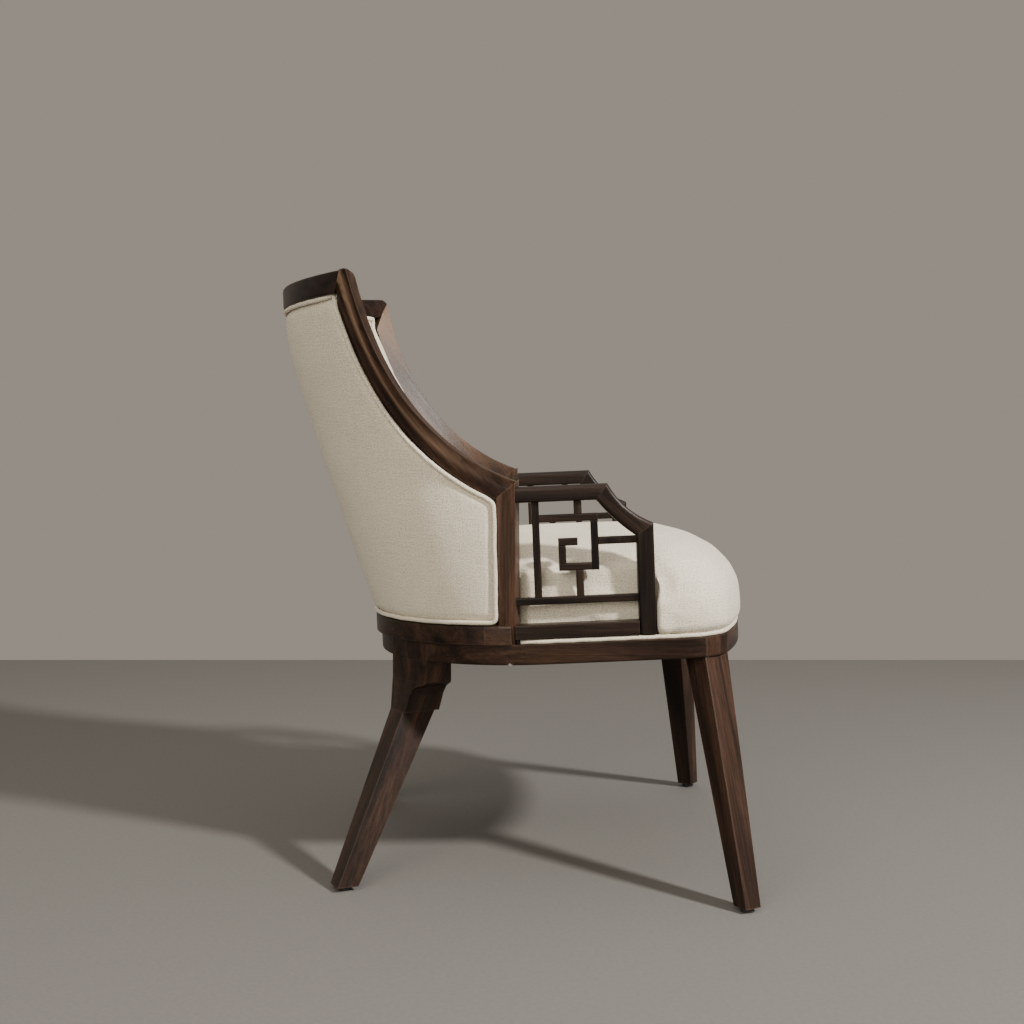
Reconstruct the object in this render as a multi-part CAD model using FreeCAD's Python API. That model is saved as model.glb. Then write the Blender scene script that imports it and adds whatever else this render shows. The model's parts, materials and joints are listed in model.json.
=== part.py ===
import FreeCAD, Part
import math
import os

# Upholstered armchair: a barrel back in a moulded wooden frame, key-fret arms, a crowned
# tight seat and four splayed legs. Lengths are millimetres, angles are degrees.
# The chair faces -Y, its sitter's left is +X and it stands on Z = 0.
# Everything above the legs is built level on the seat plane, where z is 0 at the top of
# the seat rails, and is then tipped back by seat_tilt_angle and lifted to its height.

# Seat frame
seat_plane_height = 370.0
seat_tilt_angle = 2.43
seat_half_width = 268.0
seat_rear_reach = 215.0
seat_front_reach = 367.3
front_bow_radius = 622.0
seat_corner_radius = 70.6
seat_rail_height = 31.0
seat_rail_thickness = 30.0
seat_rail_edge_radius = 4.0
tenon_length = 14.0
tenon_thickness = 9.0
tenon_height = 18.0
tenon_depth_share = 0.64

# Rounded edges are turned in this many flats, and take up no more than a share of their wall
corner_chords = 3
edge_halvings = 40
half_wall_share = 0.45
thin_wall_share = 0.2

# Fits
fit_gap = 0.3
soft_gap = 0.5
overrun = 60.0

# Back frame: a bottom rail, two posts, two swept stiles and a crest rail
back_lean_angle = 14.0
back_rail_radius = seat_half_width
back_rail_overhang = 7.8
back_rail_reach = seat_rear_reach + back_rail_overhang
barrel_foot_overhang = 4.0
barrel_foot_reach = seat_rear_reach + barrel_foot_overhang
back_rail_height = 30.0
back_rail_round = 6.0
back_rail_joint_y = 40.0
frame_thickness = 27.0
flare_start_height = 230.0
flare_end_height = 555.0
flare_growth = 144.0
flare_power = 1.33

post_rear_foot_y = 19.3
post_rear_head_y = 13.5
post_arris_foot_y = -4.5
post_arris_head_y = -14.6
post_front_foot_y = -12.8
post_front_head_y = -21.3
post_head_height = 250.0
post_round = 2.0
post_stations = 5
post_mitre_front_y = -14.6
post_mitre_front_z = 239.7
post_mitre_rear_y = 15.7
post_mitre_rear_z = 217.5

stile_foot_y = -7.0
stile_foot_z = 225.8
stile_foot_angle = 23.0
stile_foot_pull = 148.0
stile_head_y = 223.6
stile_head_z = 536.0
stile_head_angle = 78.7
stile_head_pull = 137.0
stile_foot_width = 36.3
stile_head_width = 26.5
stile_front_lead = 8.5
stile_round = 5.0
stile_bead_rise = 7.5
stile_bead_foot_share = 0.15
stile_bead_peak_share = 0.5
stile_bead_fall_share = 0.2
stile_step = 1.8
stile_top_round = 11.0
stile_groove_share = 0.12
stile_corner_fill = 4.5
stile_corner_share = 0.86
stile_stations = 11
pad_rebate_width = 8.0

crest_height = 32.5
crest_rise = 539.2
crest_tilt_angle = 2.3
crest_lean_angle = -3.0
crest_proud = 1.0
crest_pivot_y = 280.0
crest_round = 4.0
crest_mitre_top_y = 221.0
crest_mitre_top_z = 556.0
crest_mitre_low_y = 234.8
crest_mitre_low_z = 526.5

# Back upholstery, from the outside to the inside
outer_crown = 15.5
crown_rise_power = 2
crown_fall_power = 12
outer_proud = 1.0
cover_thickness = 2.0
padding_thickness = 4.0
strut_depth = 8.0
strut_width = 40.0
strut_centre_x = 70.0
webbing_thickness = 2.0
back_strap_width = 60.0
back_strap_share = (0.14, 0.38, 0.62, 0.86)
foam_depth = 28.0
inner_crown = 9.0
welt_band = 6.0
welt_proud = 2.5
barrel_station_share = (-0.06, 0.0, 0.12, 0.26, 0.405, 0.45, 0.52, 0.61, 0.71, 0.81, 0.9, 0.96, 1.0, 1.06)

# Depths of the back's layers below the barrel face
outer_skin = cover_thickness - outer_proud
padding_out = outer_skin + fit_gap
padding_in = padding_out + padding_thickness
strut_out = padding_in
strut_in = strut_out + strut_depth
webbing_out = strut_in
webbing_in = webbing_out + webbing_thickness
foam_out = webbing_in
foam_in = foam_out + foam_depth
skin_out = foam_in + fit_gap
skin_in = skin_out + cover_thickness
rebate_floor = foam_out - 3 * fit_gap

# Seat upholstery
seat_overhang = 7.5
seat_bulge_height = 15.0
seat_crown_height = 136.6
seat_crown_run = 169.0
seat_fullness_power = 0.74
seat_crown_turn = 88.0
crown_station_share = (0.0, 0.05, 0.14, 0.28, 0.46, 0.64, 0.82, 1.0)
seat_tuck = 9.0
seat_lip = 2.0
seat_welt_radius = 3.5
welt_sides = 8
seat_webbing_thickness = 2.0
seat_strap_width = 50.0
seat_strap_count = 4
seat_strap_inset = 25.6
seat_strap_end_share = 0.75
dust_cover_thickness = 1.2
dust_cover_inset = 24.0

# Arms
arm_thickness = 26.0
arm_centre_x = seat_half_width - arm_thickness / 2
arm_rail_height = 28.5
arm_post_rear_y = -189.5
arm_post_front_y = arm_post_rear_y - arm_thickness
armrest_top = 233.0
armrest_height = 23.5
armrest_round = 6.0
armrest_mitre_top_y = -150.0
armrest_mitre_low_y = -132.5
swoop_end_top_z = 172.5
swoop_end_low_z = 154.5
swoop_top_sag = 8.0
swoop_low_sag = 3.0
swoop_stations = 5
arm_rail_round = 2.0
fret_bar = 11.0
fret_round = 2.0
fret_window_rear_y = -12.0
welt_room = 0.8
fret_column_share = {"stile": 0.171, "inner": 0.383, "stub_tip": 0.513, "strut": 0.522, "right": 0.656}
fret_row_share = {"lower": 0.190, "bottom": 0.461, "side": 0.666, "top": 0.863}

# Legs, with places on the floor plan of the sitter's left side
glide_radius = 10.0
glide_height = 7.0
front_leg_inset = 6.0
front_leg_setback = 80.3
front_leg_top_x = seat_half_width - front_leg_inset
front_leg_top_y = front_leg_setback - seat_front_reach
front_leg_top_angle = 50.0
front_leg_top_width = 50.0
front_leg_top_depth = 42.0
front_foot_spread_x = 91.0
front_foot_spread_y = 50.0
front_foot_x = front_leg_top_x + front_foot_spread_x
front_foot_y = front_leg_top_y - front_foot_spread_y
front_foot_angle = 57.0
front_foot_size = 28.0
front_leg_measure_drop = 23.0
front_leg_joint_inset = 43.0
front_leg_joint_x = seat_half_width - front_leg_joint_inset
leg_edge_round = 1.5

rear_foot_angle = 24.6
rear_foot_size = 34.0
rear_block_angle = 36.4
rear_block_width = 97.0
rear_block_depth = 47.0
rear_block_drop = 70.0
rear_block_turn_angle = 25.8
rear_block_proud = 0.8
rear_foot_spread_x = 139.2
rear_foot_spread_y = 62.1
scoop_height = 51.0
scoop_width = 50.0
scoop_depth = 61.0
scoop_angle = 29.0
scoop_drift_x = 10.0
scoop_drift_y = 2.5
rear_neck_width = 47.5
rear_neck_depth = 55.0
rear_neck_angle = 27.0
scoop_fall_share = (0.0, 0.09, 0.17, 0.27, 0.5, 0.76, 1.0)
scoop_width_share = (0.0, 0.16, 0.48, 0.73, 0.87, 0.94, 1.0)
scoop_depth_share = (0.0, 0.35, 0.95, 1.16, 1.11, 1.07, 1.0)

# Hardware
corner_block_height = 20.0
front_block_inset = 148.2
rear_block_inset = 78.0
leg_bolt_radius = 3.0
leg_bolt_head_radius = 6.0
leg_bolt_head_height = 3.5
leg_bolt_length = 62.0
arm_bolt_radius = 3.0
arm_bolt_head_radius = 6.5
arm_bolt_head_height = 4.0
arm_bolt_bite = 18.0
arm_bolt_share = (-0.085, 0.28, 0.80)


def vec(x, y, z):
    return FreeCAD.Vector(x, y, z)


ORIGIN = vec(0, 0, 0)
X_AXIS = vec(1, 0, 0)
Z_AXIS = vec(0, 0, 1)
reach_across = 4 * seat_half_width


def block(x0, x1, y0, y1, z0, z1):
    """Box between two values on each axis."""
    return Part.makeBox(x1 - x0, y1 - y0, z1 - z0, vec(x0, y0, z0))


def arc(start, middle, end):
    return Part.Arc(start, middle, end).toShape()


def line(start, end):
    return Part.LineSegment(start, end).toShape()


def mirrored(shape):
    """The same piece on the other side of the chair."""
    return shape.mirror(ORIGIN, X_AXIS)


def on_seat_plane(shape):
    """Tip a piece that was built level on the seat plane and lift it to its height."""
    placed = shape.copy()
    placed.rotate(ORIGIN, X_AXIS, -seat_tilt_angle)
    placed.translate(vec(0, 0, seat_plane_height))
    return placed


def side_prism(edges, half_width):
    """Extrude a side-view outline, given as edges in the YZ plane, across the chair."""
    wire = Part.Wire(edges)
    face = Part.Face(wire)
    face.translate(vec(-half_width, 0, 0))
    return face.extrude(vec(2 * half_width, 0, 0))


def plan_slab(wire, z0, z1):
    """Extrude a plan outline drawn at z = 0 between two heights."""
    face = Part.Face(wire)
    face.translate(vec(0, 0, z0))
    return face.extrude(vec(0, 0, z1 - z0))


def half_space(point, normal):
    """A large block that fills the side of a plane towards its normal."""
    size = 2 * reach_across
    solid = Part.makeBox(size, size, size, vec(-size / 2, -size / 2, 0))
    solid.Placement = FreeCAD.Placement(point, FreeCAD.Rotation(Z_AXIS, normal))
    return solid


def edges_along(shape, axis):
    """The straight edges of a shape that run along an axis."""
    found = []
    for edge in shape.Edges:
        if len(edge.Vertexes) == 2:
            run = edge.Vertexes[1].Point.sub(edge.Vertexes[0].Point)
            if run.Length > 0 and abs(run.normalize().dot(axis)) > 0.999:
                found.append(edge)
    return found


def turned_corner(before, corner, after):
    """Points that turn a corner from before to after by short chords."""
    points = []
    for step in range(corner_chords + 1):
        t = step / corner_chords
        points.append(before * (1 - t) ** 2 + corner * (2 * t * (1 - t)) + after * t ** 2)
    return points


def eased(points, radius, corners):
    """Closed outline whose listed corners are turned with about this radius."""
    outline = []
    for index, corner in enumerate(points):
        if index in corners:
            back = (points[index - 1] - corner).normalize() * radius
            ahead = (points[(index + 1) % len(points)] - corner).normalize() * radius
            outline += turned_corner(corner + back, corner, corner + ahead)
        else:
            outline.append(corner)
    return Part.makePolygon(outline + [outline[0]])


def rounded_along(shape, radius, axis, wall):
    """Round the edges along one axis, by no more than the wall allows."""
    return shape.makeFillet(min(radius, half_wall_share * wall), edges_along(shape, axis))


def single(shape):
    """The largest solid of a cut or common."""
    return max(shape.Solids, key=lambda solid: solid.Volume)


# Seat outline: a round rear, straight sides, round front corners and a bowed front

rear_centre_y = seat_rear_reach - seat_half_width
bow_centre_y = front_bow_radius - seat_front_reach
rear_block_x = (seat_half_width + rear_block_proud) * math.sin(math.radians(rear_block_turn_angle))
rear_block_y = rear_centre_y + (seat_half_width + rear_block_proud) * math.cos(math.radians(rear_block_turn_angle))
rear_foot_x = rear_block_x + rear_foot_spread_x
rear_foot_y = rear_block_y + rear_foot_spread_y


def seat_outline(inset):
    """The seat's plan outline at z = 0, moved inwards by inset."""
    half = seat_half_width - inset
    bow = front_bow_radius - inset
    corner = seat_corner_radius
    corner_x = half - corner
    corner_y = bow_centre_y - math.sqrt((bow - corner) ** 2 - corner_x ** 2)
    stretch = bow / (bow - corner)
    bow_x = corner_x * stretch
    bow_y = bow_centre_y + (corner_y - bow_centre_y) * stretch
    turn = math.atan2(bow_centre_y - corner_y, corner_x)
    mid_x = corner_x + corner * math.cos(turn / 2)
    mid_y = corner_y - corner * math.sin(turn / 2)
    slant = half * math.sqrt(0.5)
    points = {
        "rear": vec(0, rear_centre_y + half, 0),
        "front": vec(0, bow_centre_y - bow, 0),
    }
    for side, sign in (("left", 1), ("right", -1)):
        points[side + "_shoulder"] = vec(sign * slant, rear_centre_y + slant, 0)
        points[side + "_rear"] = vec(sign * half, rear_centre_y, 0)
        points[side + "_side"] = vec(sign * half, corner_y, 0)
        points[side + "_corner"] = vec(sign * mid_x, mid_y, 0)
        points[side + "_bow"] = vec(sign * bow_x, bow_y, 0)
    edges = [
        arc(points["rear"], points["left_shoulder"], points["left_rear"]),
        line(points["left_rear"], points["left_side"]),
        arc(points["left_side"], points["left_corner"], points["left_bow"]),
        arc(points["left_bow"], points["front"], points["right_bow"]),
        arc(points["right_bow"], points["right_corner"], points["right_side"]),
        line(points["right_side"], points["right_rear"]),
        arc(points["right_rear"], points["right_shoulder"], points["rear"]),
    ]
    return Part.Wire(edges)


# Barrel of the back: its plan at each height is an arc that flares towards the crest

def barrel_radius(z):
    climb = (z - flare_start_height) / (flare_end_height - flare_start_height)
    return back_rail_radius + flare_growth * max(climb, 0.0) ** flare_power


def barrel_reach(z):
    """How far back the barrel lies at the middle of the chair."""
    return barrel_foot_reach + math.tan(math.radians(back_lean_angle)) * (z - back_rail_height)


def barrel_x(y, z):
    """Half width of the barrel's outer face at one place of the side view."""
    radius = barrel_radius(z)
    offset = max(y - barrel_reach(z) + radius, 0.0)
    return math.sqrt(radius ** 2 - offset ** 2)


def panel_height(share):
    """Height of a place between the bottom rail and the crest."""
    top = crest_rise - crest_height / 2
    return back_rail_height + share * (top - back_rail_height)


def crown_share(share):
    """Part of its full crown that a padded panel has at a share of its height."""
    climb = min(max(share, 0.0), 1.0)
    return (1 - (1 - climb) ** crown_rise_power) * (1 - climb ** crown_fall_power)


def frame_edge_y(z):
    """Where the fabric meets post or stile at a height, in the side view."""
    if z < stile_rear_edge(0, 0).z:
        return post_rear_foot_y + (post_rear_head_y - post_rear_foot_y) * z / post_head_height
    low, high = 0.0, stile_span_share[1]
    for halving in range(edge_halvings):
        middle = (low + high) / 2
        if stile_rear_edge(middle, 0).z < z:
            low = middle
        else:
            high = middle
    return stile_rear_edge(low, 0).y


def barrel_plan(z, inset, crown):
    """Closed D in plan: the barrel's own arcs beside the frame, and between the frame's two
    edges one arc that is bulged back by crown at the middle."""
    radius = barrel_radius(z) - inset
    centre_y = barrel_reach(z) - barrel_radius(z)
    edge_angle = math.asin((frame_edge_y(z) - centre_y) / radius)

    def round_place(sign, angle):
        return vec(sign * radius * math.cos(angle), centre_y + radius * math.sin(angle), z)

    left, right = round_place(1, edge_angle), round_place(-1, edge_angle)
    return Part.Wire([
        arc(round_place(1, 0), round_place(1, edge_angle / 2), left),
        arc(left, vec(0, centre_y + radius + crown, z), right),
        arc(right, round_place(-1, edge_angle / 2), round_place(-1, 0)),
        line(round_place(-1, 0), round_place(1, 0)),
    ])


def barrel_solid(inset, crown):
    """D-shaped body whose round side is the barrel moved inwards by inset and bulged
    back by crown."""
    wires = []
    for share in barrel_station_share:
        wires.append(barrel_plan(panel_height(share), inset, crown * crown_share(share)))
    return Part.makeLoft(wires, True, True)


def barrel_layer(depth_out, depth_in, crown_out, crown_in, outline):
    """One layer of the back between two depths, trimmed to a side-view outline."""
    outer = barrel_solid(depth_out, crown_out)
    inner = barrel_solid(depth_in, crown_in)
    return outer.common(outline).cut(inner)


# Stile path in the side view: one smooth curve from the arm up to the crest

def stile_point(t):
    foot = vec(0, stile_foot_y, stile_foot_z)
    head = vec(0, stile_head_y, stile_head_z)
    foot_angle = math.radians(stile_foot_angle)
    head_angle = math.radians(stile_head_angle)
    low = foot + vec(0, math.cos(foot_angle), math.sin(foot_angle)) * stile_foot_pull
    high = head - vec(0, math.cos(head_angle), math.sin(head_angle)) * stile_head_pull
    s = 1 - t
    return foot * s ** 3 + low * (3 * t * s ** 2) + high * (3 * t ** 2 * s) + head * t ** 3


def stile_across(t):
    """Unit vector square to the path in the side view, towards the front."""
    step_share = 0.001
    run = stile_point(t + step_share) - stile_point(t - step_share)
    run.normalize()
    return vec(0, -run.z, run.y)


def stile_width(t):
    return stile_foot_width + (stile_head_width - stile_foot_width) * min(max(t, 0.0), 1.0)


def stile_rear_half(t):
    """Distance from the path to the fabric side, which swells into the crest's corner."""
    swell = min(max((t - stile_corner_share) / (1 - stile_corner_share), 0.0), 1.0)
    return stile_width(t) / 2 + stile_corner_fill * swell ** 2


def stile_rear_edge(t, gap):
    """Point on the fabric side of the stile, gap away from it."""
    return stile_point(t) - stile_across(t) * (stile_rear_half(t) + gap)


stile_span_share = (-0.12, 1.1)


def stile_section(t):
    """Closed moulded section of the stile at one station of its path."""
    centre = stile_point(t)
    across = stile_across(t)
    width = stile_width(t)
    climb = min(max(t, 0.0), 1.0)
    lead = stile_front_lead * climb
    step = stile_step * (0.25 + 0.75 * climb)

    front = width / 2
    rear = -stile_rear_half(t)
    groove = stile_groove_share * width
    fullness = stile_bead_foot_share + (1 - stile_bead_foot_share) * climb
    bead = stile_round * fullness
    peak = rear + (groove - rear) * stile_bead_peak_share

    def place(offset, depth):
        spot = centre + across * offset
        return vec(barrel_x(spot.y, spot.z) - depth, spot.y, spot.z)

    inner_front = centre + across * (front + lead)
    points = turned_corner(place(rear, bead), place(peak, -stile_bead_rise * fullness),
                           place(groove, stile_bead_fall_share * bead))
    points += [
        place(groove + step, step),
        place(front, step),
        vec(place(front, 0).x - frame_thickness, inner_front.y, inner_front.z),
        place(rear + pad_rebate_width, frame_thickness),
        place(rear + pad_rebate_width, rebate_floor),
        place(rear, rebate_floor),
    ]
    return Part.makePolygon(points + [points[0]])


def stile_blank():
    """The stile before its ends are mitred."""
    first, last = stile_span_share
    wires = []
    for index in range(stile_stations):
        wires.append(stile_section(first + (last - first) * index / (stile_stations - 1)))
    return Part.makeLoft(wires, True, False)


def post_mitre():
    """The half space above the joint between post and stile."""
    front = vec(0, post_mitre_front_y, post_mitre_front_z)
    rear = vec(0, post_mitre_rear_y, post_mitre_rear_z)
    run = rear - front
    return half_space(front, vec(0, -run.z, run.y))


def crest_mitre():
    """The half space on the stile's side of its joint with the crest, sitter's left."""
    low = vec(barrel_x(crest_mitre_low_y, crest_rise), crest_mitre_low_y, crest_mitre_low_z)
    top = vec(barrel_x(crest_mitre_top_y, crest_rise), crest_mitre_top_y, crest_mitre_top_z)
    centre_y = barrel_reach(crest_rise) - barrel_radius(crest_rise)
    inward = vec(-low.x, centre_y - low.y, 0)
    return half_space(low, (top - low).cross(inward))


def crest_tipped(shape):
    tipped = shape.copy()
    tipped.rotate(vec(0, crest_pivot_y, crest_rise), X_AXIS, -crest_tilt_angle)
    return tipped


def crest_blank():
    """Arc-shaped crest rail with rounded edges, before its ends are mitred."""
    radius = barrel_radius(crest_rise) + crest_proud
    centre_y = barrel_reach(crest_rise) - barrel_radius(crest_rise)
    lean = math.tan(math.radians(crest_lean_angle)) * crest_height / 2
    half = crest_height / 2
    section = [
        vec(radius - lean, 0, crest_rise - half),
        vec(radius + lean, 0, crest_rise + half),
        vec(radius + lean - frame_thickness, 0, crest_rise + half),
        vec(radius - lean - frame_thickness, 0, crest_rise - half),
    ]
    radius_limit = min(crest_round, half_wall_share * frame_thickness)
    ring = Part.Face(eased(section, radius_limit, range(4))).revolve(ORIGIN, Z_AXIS, 180)
    ring.translate(vec(0, centre_y, 0))
    return crest_tipped(ring)


def above_crest_level(offset):
    """The half space above a plane parallel to the crest, offset from its middle."""
    return crest_tipped(half_space(vec(0, crest_pivot_y, crest_rise + offset), Z_AXIS))


def crest_rail():
    rail = crest_blank()
    rail = rail.cut(crest_mitre())
    rail = rail.cut(mirrored(crest_mitre()))
    return single(rail.cut(stile_corner_waste()))


def stile_top_corner():
    """Where the stile's inner front edge meets the crest's top, in the side view."""
    tilt = math.radians(crest_tilt_angle)
    upward = vec(0, math.sin(tilt), math.cos(tilt))
    top = vec(0, crest_pivot_y, crest_rise) + upward * (crest_height / 2)
    reach = stile_width(1) / 2 + stile_front_lead
    edge = stile_point(1) + stile_across(1) * reach
    run = stile_point(1) - stile_point(stile_corner_share)
    return edge + run * ((top - edge).dot(upward) / run.dot(upward)), run.normalize()


def stile_corner_waste():
    """What the rounding of the stile's top front corner takes away."""
    corner, run = stile_top_corner()
    tilt = math.radians(crest_tilt_angle)
    before = corner - run * stile_top_round
    after = corner + vec(0, math.cos(tilt), -math.sin(tilt)) * stile_top_round
    outside = corner - vec(0, overrun, -overrun)
    outline = turned_corner(before, corner, after)
    outline += [after + vec(0, 0, overrun), outside, before - vec(0, overrun, 0)]
    edges = [line(outline[i - 1], outline[i]) for i in range(len(outline))]
    return side_prism(edges, reach_across)


def back_stile():
    """Swept stile on the sitter's left, mitred to the crest above and the post below."""
    stile = stile_blank()
    stile = stile.cut(above_crest_level(crest_height / 2)).cut(stile_corner_waste())
    stile = stile.common(crest_mitre())
    return single(stile.common(post_mitre()))


def post_section(share):
    """Closed section of the post at a share of its height, rebated for the inner pad."""
    z = share * post_head_height
    rear_y = post_rear_foot_y + (post_rear_head_y - post_rear_foot_y) * share
    front_y = post_front_foot_y + (post_front_head_y - post_front_foot_y) * share
    step_y = rear_y - pad_rebate_width
    points = [
        vec(barrel_x(rear_y, z), rear_y, z),
        vec(barrel_x(post_arris_y(z), z), post_arris_y(z), z),
        vec(barrel_x(post_arris_y(z), z) - frame_thickness, front_y, z),
        vec(barrel_x(step_y, z) - frame_thickness, step_y, z),
        vec(barrel_x(step_y, z) - rebate_floor, step_y, z),
        vec(barrel_x(rear_y, z) - rebate_floor, rear_y, z),
    ]
    return eased(points, min(post_round, thin_wall_share * frame_thickness), range(3))


def post_arris_y(z):
    """Where the post's outer front edge is at a height."""
    return post_arris_foot_y + (post_arris_head_y - post_arris_foot_y) * z / post_head_height


def back_post():
    """Post on the sitter's left between the seat rail and the stile."""
    sections = [post_section(index / (post_stations - 1)) for index in range(post_stations)]
    post = Part.makeLoft(sections, True, False, False, 3)
    return single(post.cut(post_mitre()))


def back_rail_ring():
    """Half ring of the back's bottom rail with a rounded top edge."""
    section = [
        vec(back_rail_radius - frame_thickness, 0, 0),
        vec(back_rail_radius, 0, 0),
        vec(back_rail_radius, 0, back_rail_height),
        vec(back_rail_radius - frame_thickness, 0, back_rail_height),
    ]
    outline = eased(section, min(back_rail_round, thin_wall_share * back_rail_height), (2,))
    ring = Part.Face(outline).revolve(ORIGIN, Z_AXIS, 180)
    ring.translate(vec(0, back_rail_reach - back_rail_radius, 0))
    return ring


def back_bottom_rail():
    rear_part = block(-reach_across, reach_across, back_rail_joint_y, reach_across, -overrun, overrun)
    return single(back_rail_ring().common(rear_part))


def back_rail_return(post):
    """Short end of the bottom rail between its joint and the post."""
    side_part = block(0, reach_across, 0, back_rail_joint_y, -overrun, overrun)
    rest = back_rail_ring().common(side_part).cut(post)
    return max(rest.Solids, key=lambda solid: solid.CenterOfMass.y)


# Side-view outline of the back's upholstery

def upholstery_outline(side_margin, end_margin):
    """Prism behind posts and stiles and between bottom rail and crest, with margins."""
    path = []
    for index in range(stile_stations):
        path.append(stile_rear_edge(index / (stile_stations - 1), side_margin))
    curve = Part.BSplineCurve()
    curve.interpolate(path)
    low_z = back_rail_height + end_margin
    top = path[-1] + vec(0, 0, overrun)
    front = path[0] - vec(0, overrun, 0)
    corners = [
        path[-1],
        top,
        vec(0, reach_across, top.z),
        vec(0, reach_across, low_z),
        vec(0, front.y, low_z),
        front,
        path[0],
    ]
    edges = [curve.toShape()] + [line(a, b) for a, b in zip(corners, corners[1:])]
    prism = side_prism(edges, reach_across)
    prism = prism.cut(above_crest_level(-crest_height / 2 - end_margin))
    foot_y = post_rear_foot_y + side_margin
    head_y = post_rear_head_y + side_margin
    shadow = [
        vec(0, foot_y, 0),
        vec(0, head_y, post_head_height),
        vec(0, -reach_across, post_head_height),
        vec(0, -reach_across, 0),
    ]
    post_shadow = side_prism([line(shadow[i], shadow[i - 1]) for i in range(4)], reach_across)
    return prism.cut(post_shadow)


def back_layers():
    """Every solid of the back's upholstery, by node name."""
    full = upholstery_outline(soft_gap, soft_gap)
    framed = upholstery_outline(soft_gap, 0)
    field = upholstery_outline(soft_gap + welt_band + fit_gap, soft_gap + welt_band + fit_gap)
    rim = full.cut(upholstery_outline(soft_gap + welt_band, soft_gap + welt_band))
    lap = soft_gap - pad_rebate_width
    pad = upholstery_outline(lap, soft_gap)
    pad_field = upholstery_outline(lap + welt_band + fit_gap, soft_gap + welt_band + fit_gap)
    pad_rim = pad.cut(upholstery_outline(lap + welt_band, soft_gap + welt_band))
    layers = {}
    layers["outer_back_cover"] = barrel_layer(-outer_proud, outer_skin, outer_crown, outer_crown, field)
    layers["outer_back_welt"] = barrel_layer(-welt_proud, outer_skin, outer_crown, outer_crown, rim)
    layers["outer_back_padding"] = barrel_layer(padding_out, padding_in, outer_crown, 0, full)
    struts = barrel_layer(strut_out, strut_in, 0, 0, framed)
    uprights = []
    for sign in (1, -1):
        centre = sign * strut_centre_x
        upright = block(centre - strut_width / 2, centre + strut_width / 2, 0, reach_across, 0, reach_across)
        uprights.append(single(struts.common(upright)))
    layers["back_struts"] = Part.makeCompound(uprights)
    straps = barrel_layer(webbing_out, webbing_in, 0, 0, full)
    bands = []
    for share in back_strap_share:
        centre = panel_height(share)
        band = block(-reach_across, reach_across, -reach_across, reach_across,
                     centre - back_strap_width / 2, centre + back_strap_width / 2)
        bands.append(single(straps.common(band)))
    layers["back_webbing"] = Part.makeCompound(bands)
    layers["back_foam"] = barrel_layer(foam_out, foam_in, 0, -inner_crown, pad)
    layers["inner_back_cover"] = barrel_layer(skin_out, skin_in, -inner_crown, -inner_crown, pad_field)
    layers["inner_back_welt"] = barrel_layer(skin_out, skin_in + welt_proud, -inner_crown, -inner_crown, pad_rim)
    return layers


# Seat rails

def seat_ring():
    """The whole seat frame as one ring under the seat plane."""
    radius = min(seat_rail_edge_radius, thin_wall_share * seat_rail_height)
    low = -seat_rail_height
    rim = turned_corner(vec(0, 0, low + radius), vec(0, 0, low), vec(radius, 0, low))
    wires = [seat_outline(0)]
    for place in rim:
        wire = seat_outline(place.x)
        wire.translate(vec(0, 0, place.z))
        wires.append(wire)
    outer = Part.makeLoft(wires, True, True)
    inner = plan_slab(seat_outline(seat_rail_thickness), -seat_rail_height - overrun, overrun)
    return outer.cut(inner)


def plan_turn(x, y):
    """Angle of a place in plan about the rear arc's centre, from straight back."""
    return math.degrees(math.atan2(x, y - rear_centre_y))


def rear_wedge(from_angle, to_angle):
    """Wedge about the rear arc's centre between two angles from straight back."""
    reach = reach_across
    points = [vec(0, rear_centre_y, 0)]
    for angle in (from_angle, (from_angle + to_angle) / 2, to_angle):
        turn = math.radians(angle)
        points.append(vec(reach * math.sin(turn), rear_centre_y + reach * math.cos(turn), 0))
    return plan_slab(Part.makePolygon(points + [points[0]]), -overrun, overrun)


rear_block_end_x = rear_block_x + rear_block_width * math.cos(math.radians(rear_block_angle))
rear_block_end_y = rear_block_y - rear_block_width * math.sin(math.radians(rear_block_angle))
rear_joint_angle = plan_turn(rear_block_x, rear_block_y)
side_joint_angle = plan_turn(rear_block_end_x, rear_block_end_y)


def rear_tenon(angle, sign, clearance):
    """Tenon along the rear arc at a joint; sign gives the way it points."""
    middle = seat_half_width - seat_rail_thickness / 2
    half = tenon_thickness / 2 + clearance
    low = -seat_rail_height / 2 - tenon_height / 2 - clearance
    high = -seat_rail_height / 2 + tenon_height / 2 + clearance
    start = -tenon_length if sign > 0 else -tenon_length - clearance
    end = tenon_length + clearance if sign > 0 else tenon_length
    tongue = block(start, end, middle - half, middle + half, low, high)
    tongue.rotate(ORIGIN, Z_AXIS, -angle)
    tongue.translate(vec(0, rear_centre_y, 0))
    return tongue


def front_tenon(along_x, clearance):
    """Tenon of the front rail (along X) or of a side rail (along -Y) at the front leg."""
    half = tenon_thickness / 2 + clearance
    low = -seat_rail_height / 2 - tenon_height / 2 - clearance
    high = -seat_rail_height / 2 + tenon_height / 2 + clearance
    depth = seat_rail_thickness * tenon_depth_share
    if along_x:
        bow = front_bow_radius
        face_y = bow_centre_y - math.sqrt(bow ** 2 - front_leg_joint_x ** 2)
        middle = face_y + depth
        return block(front_leg_joint_x - tenon_length, front_leg_joint_x + tenon_length + clearance,
                     middle - half, middle + half, low, high)
    middle = seat_half_width - depth
    return block(middle - half, middle + half, front_leg_top_y - tenon_length - clearance,
                 front_leg_top_y + tenon_length, low, high)


def leg_tenons(clearance):
    """The four tenon shapes on the sitter's left side, for the rails and their mortises."""
    return {
        "front": front_tenon(True, clearance),
        "side_front": front_tenon(False, clearance),
        "side_rear": rear_tenon(side_joint_angle, -1, clearance),
        "rear": rear_tenon(rear_joint_angle, 1, clearance),
    }


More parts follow.
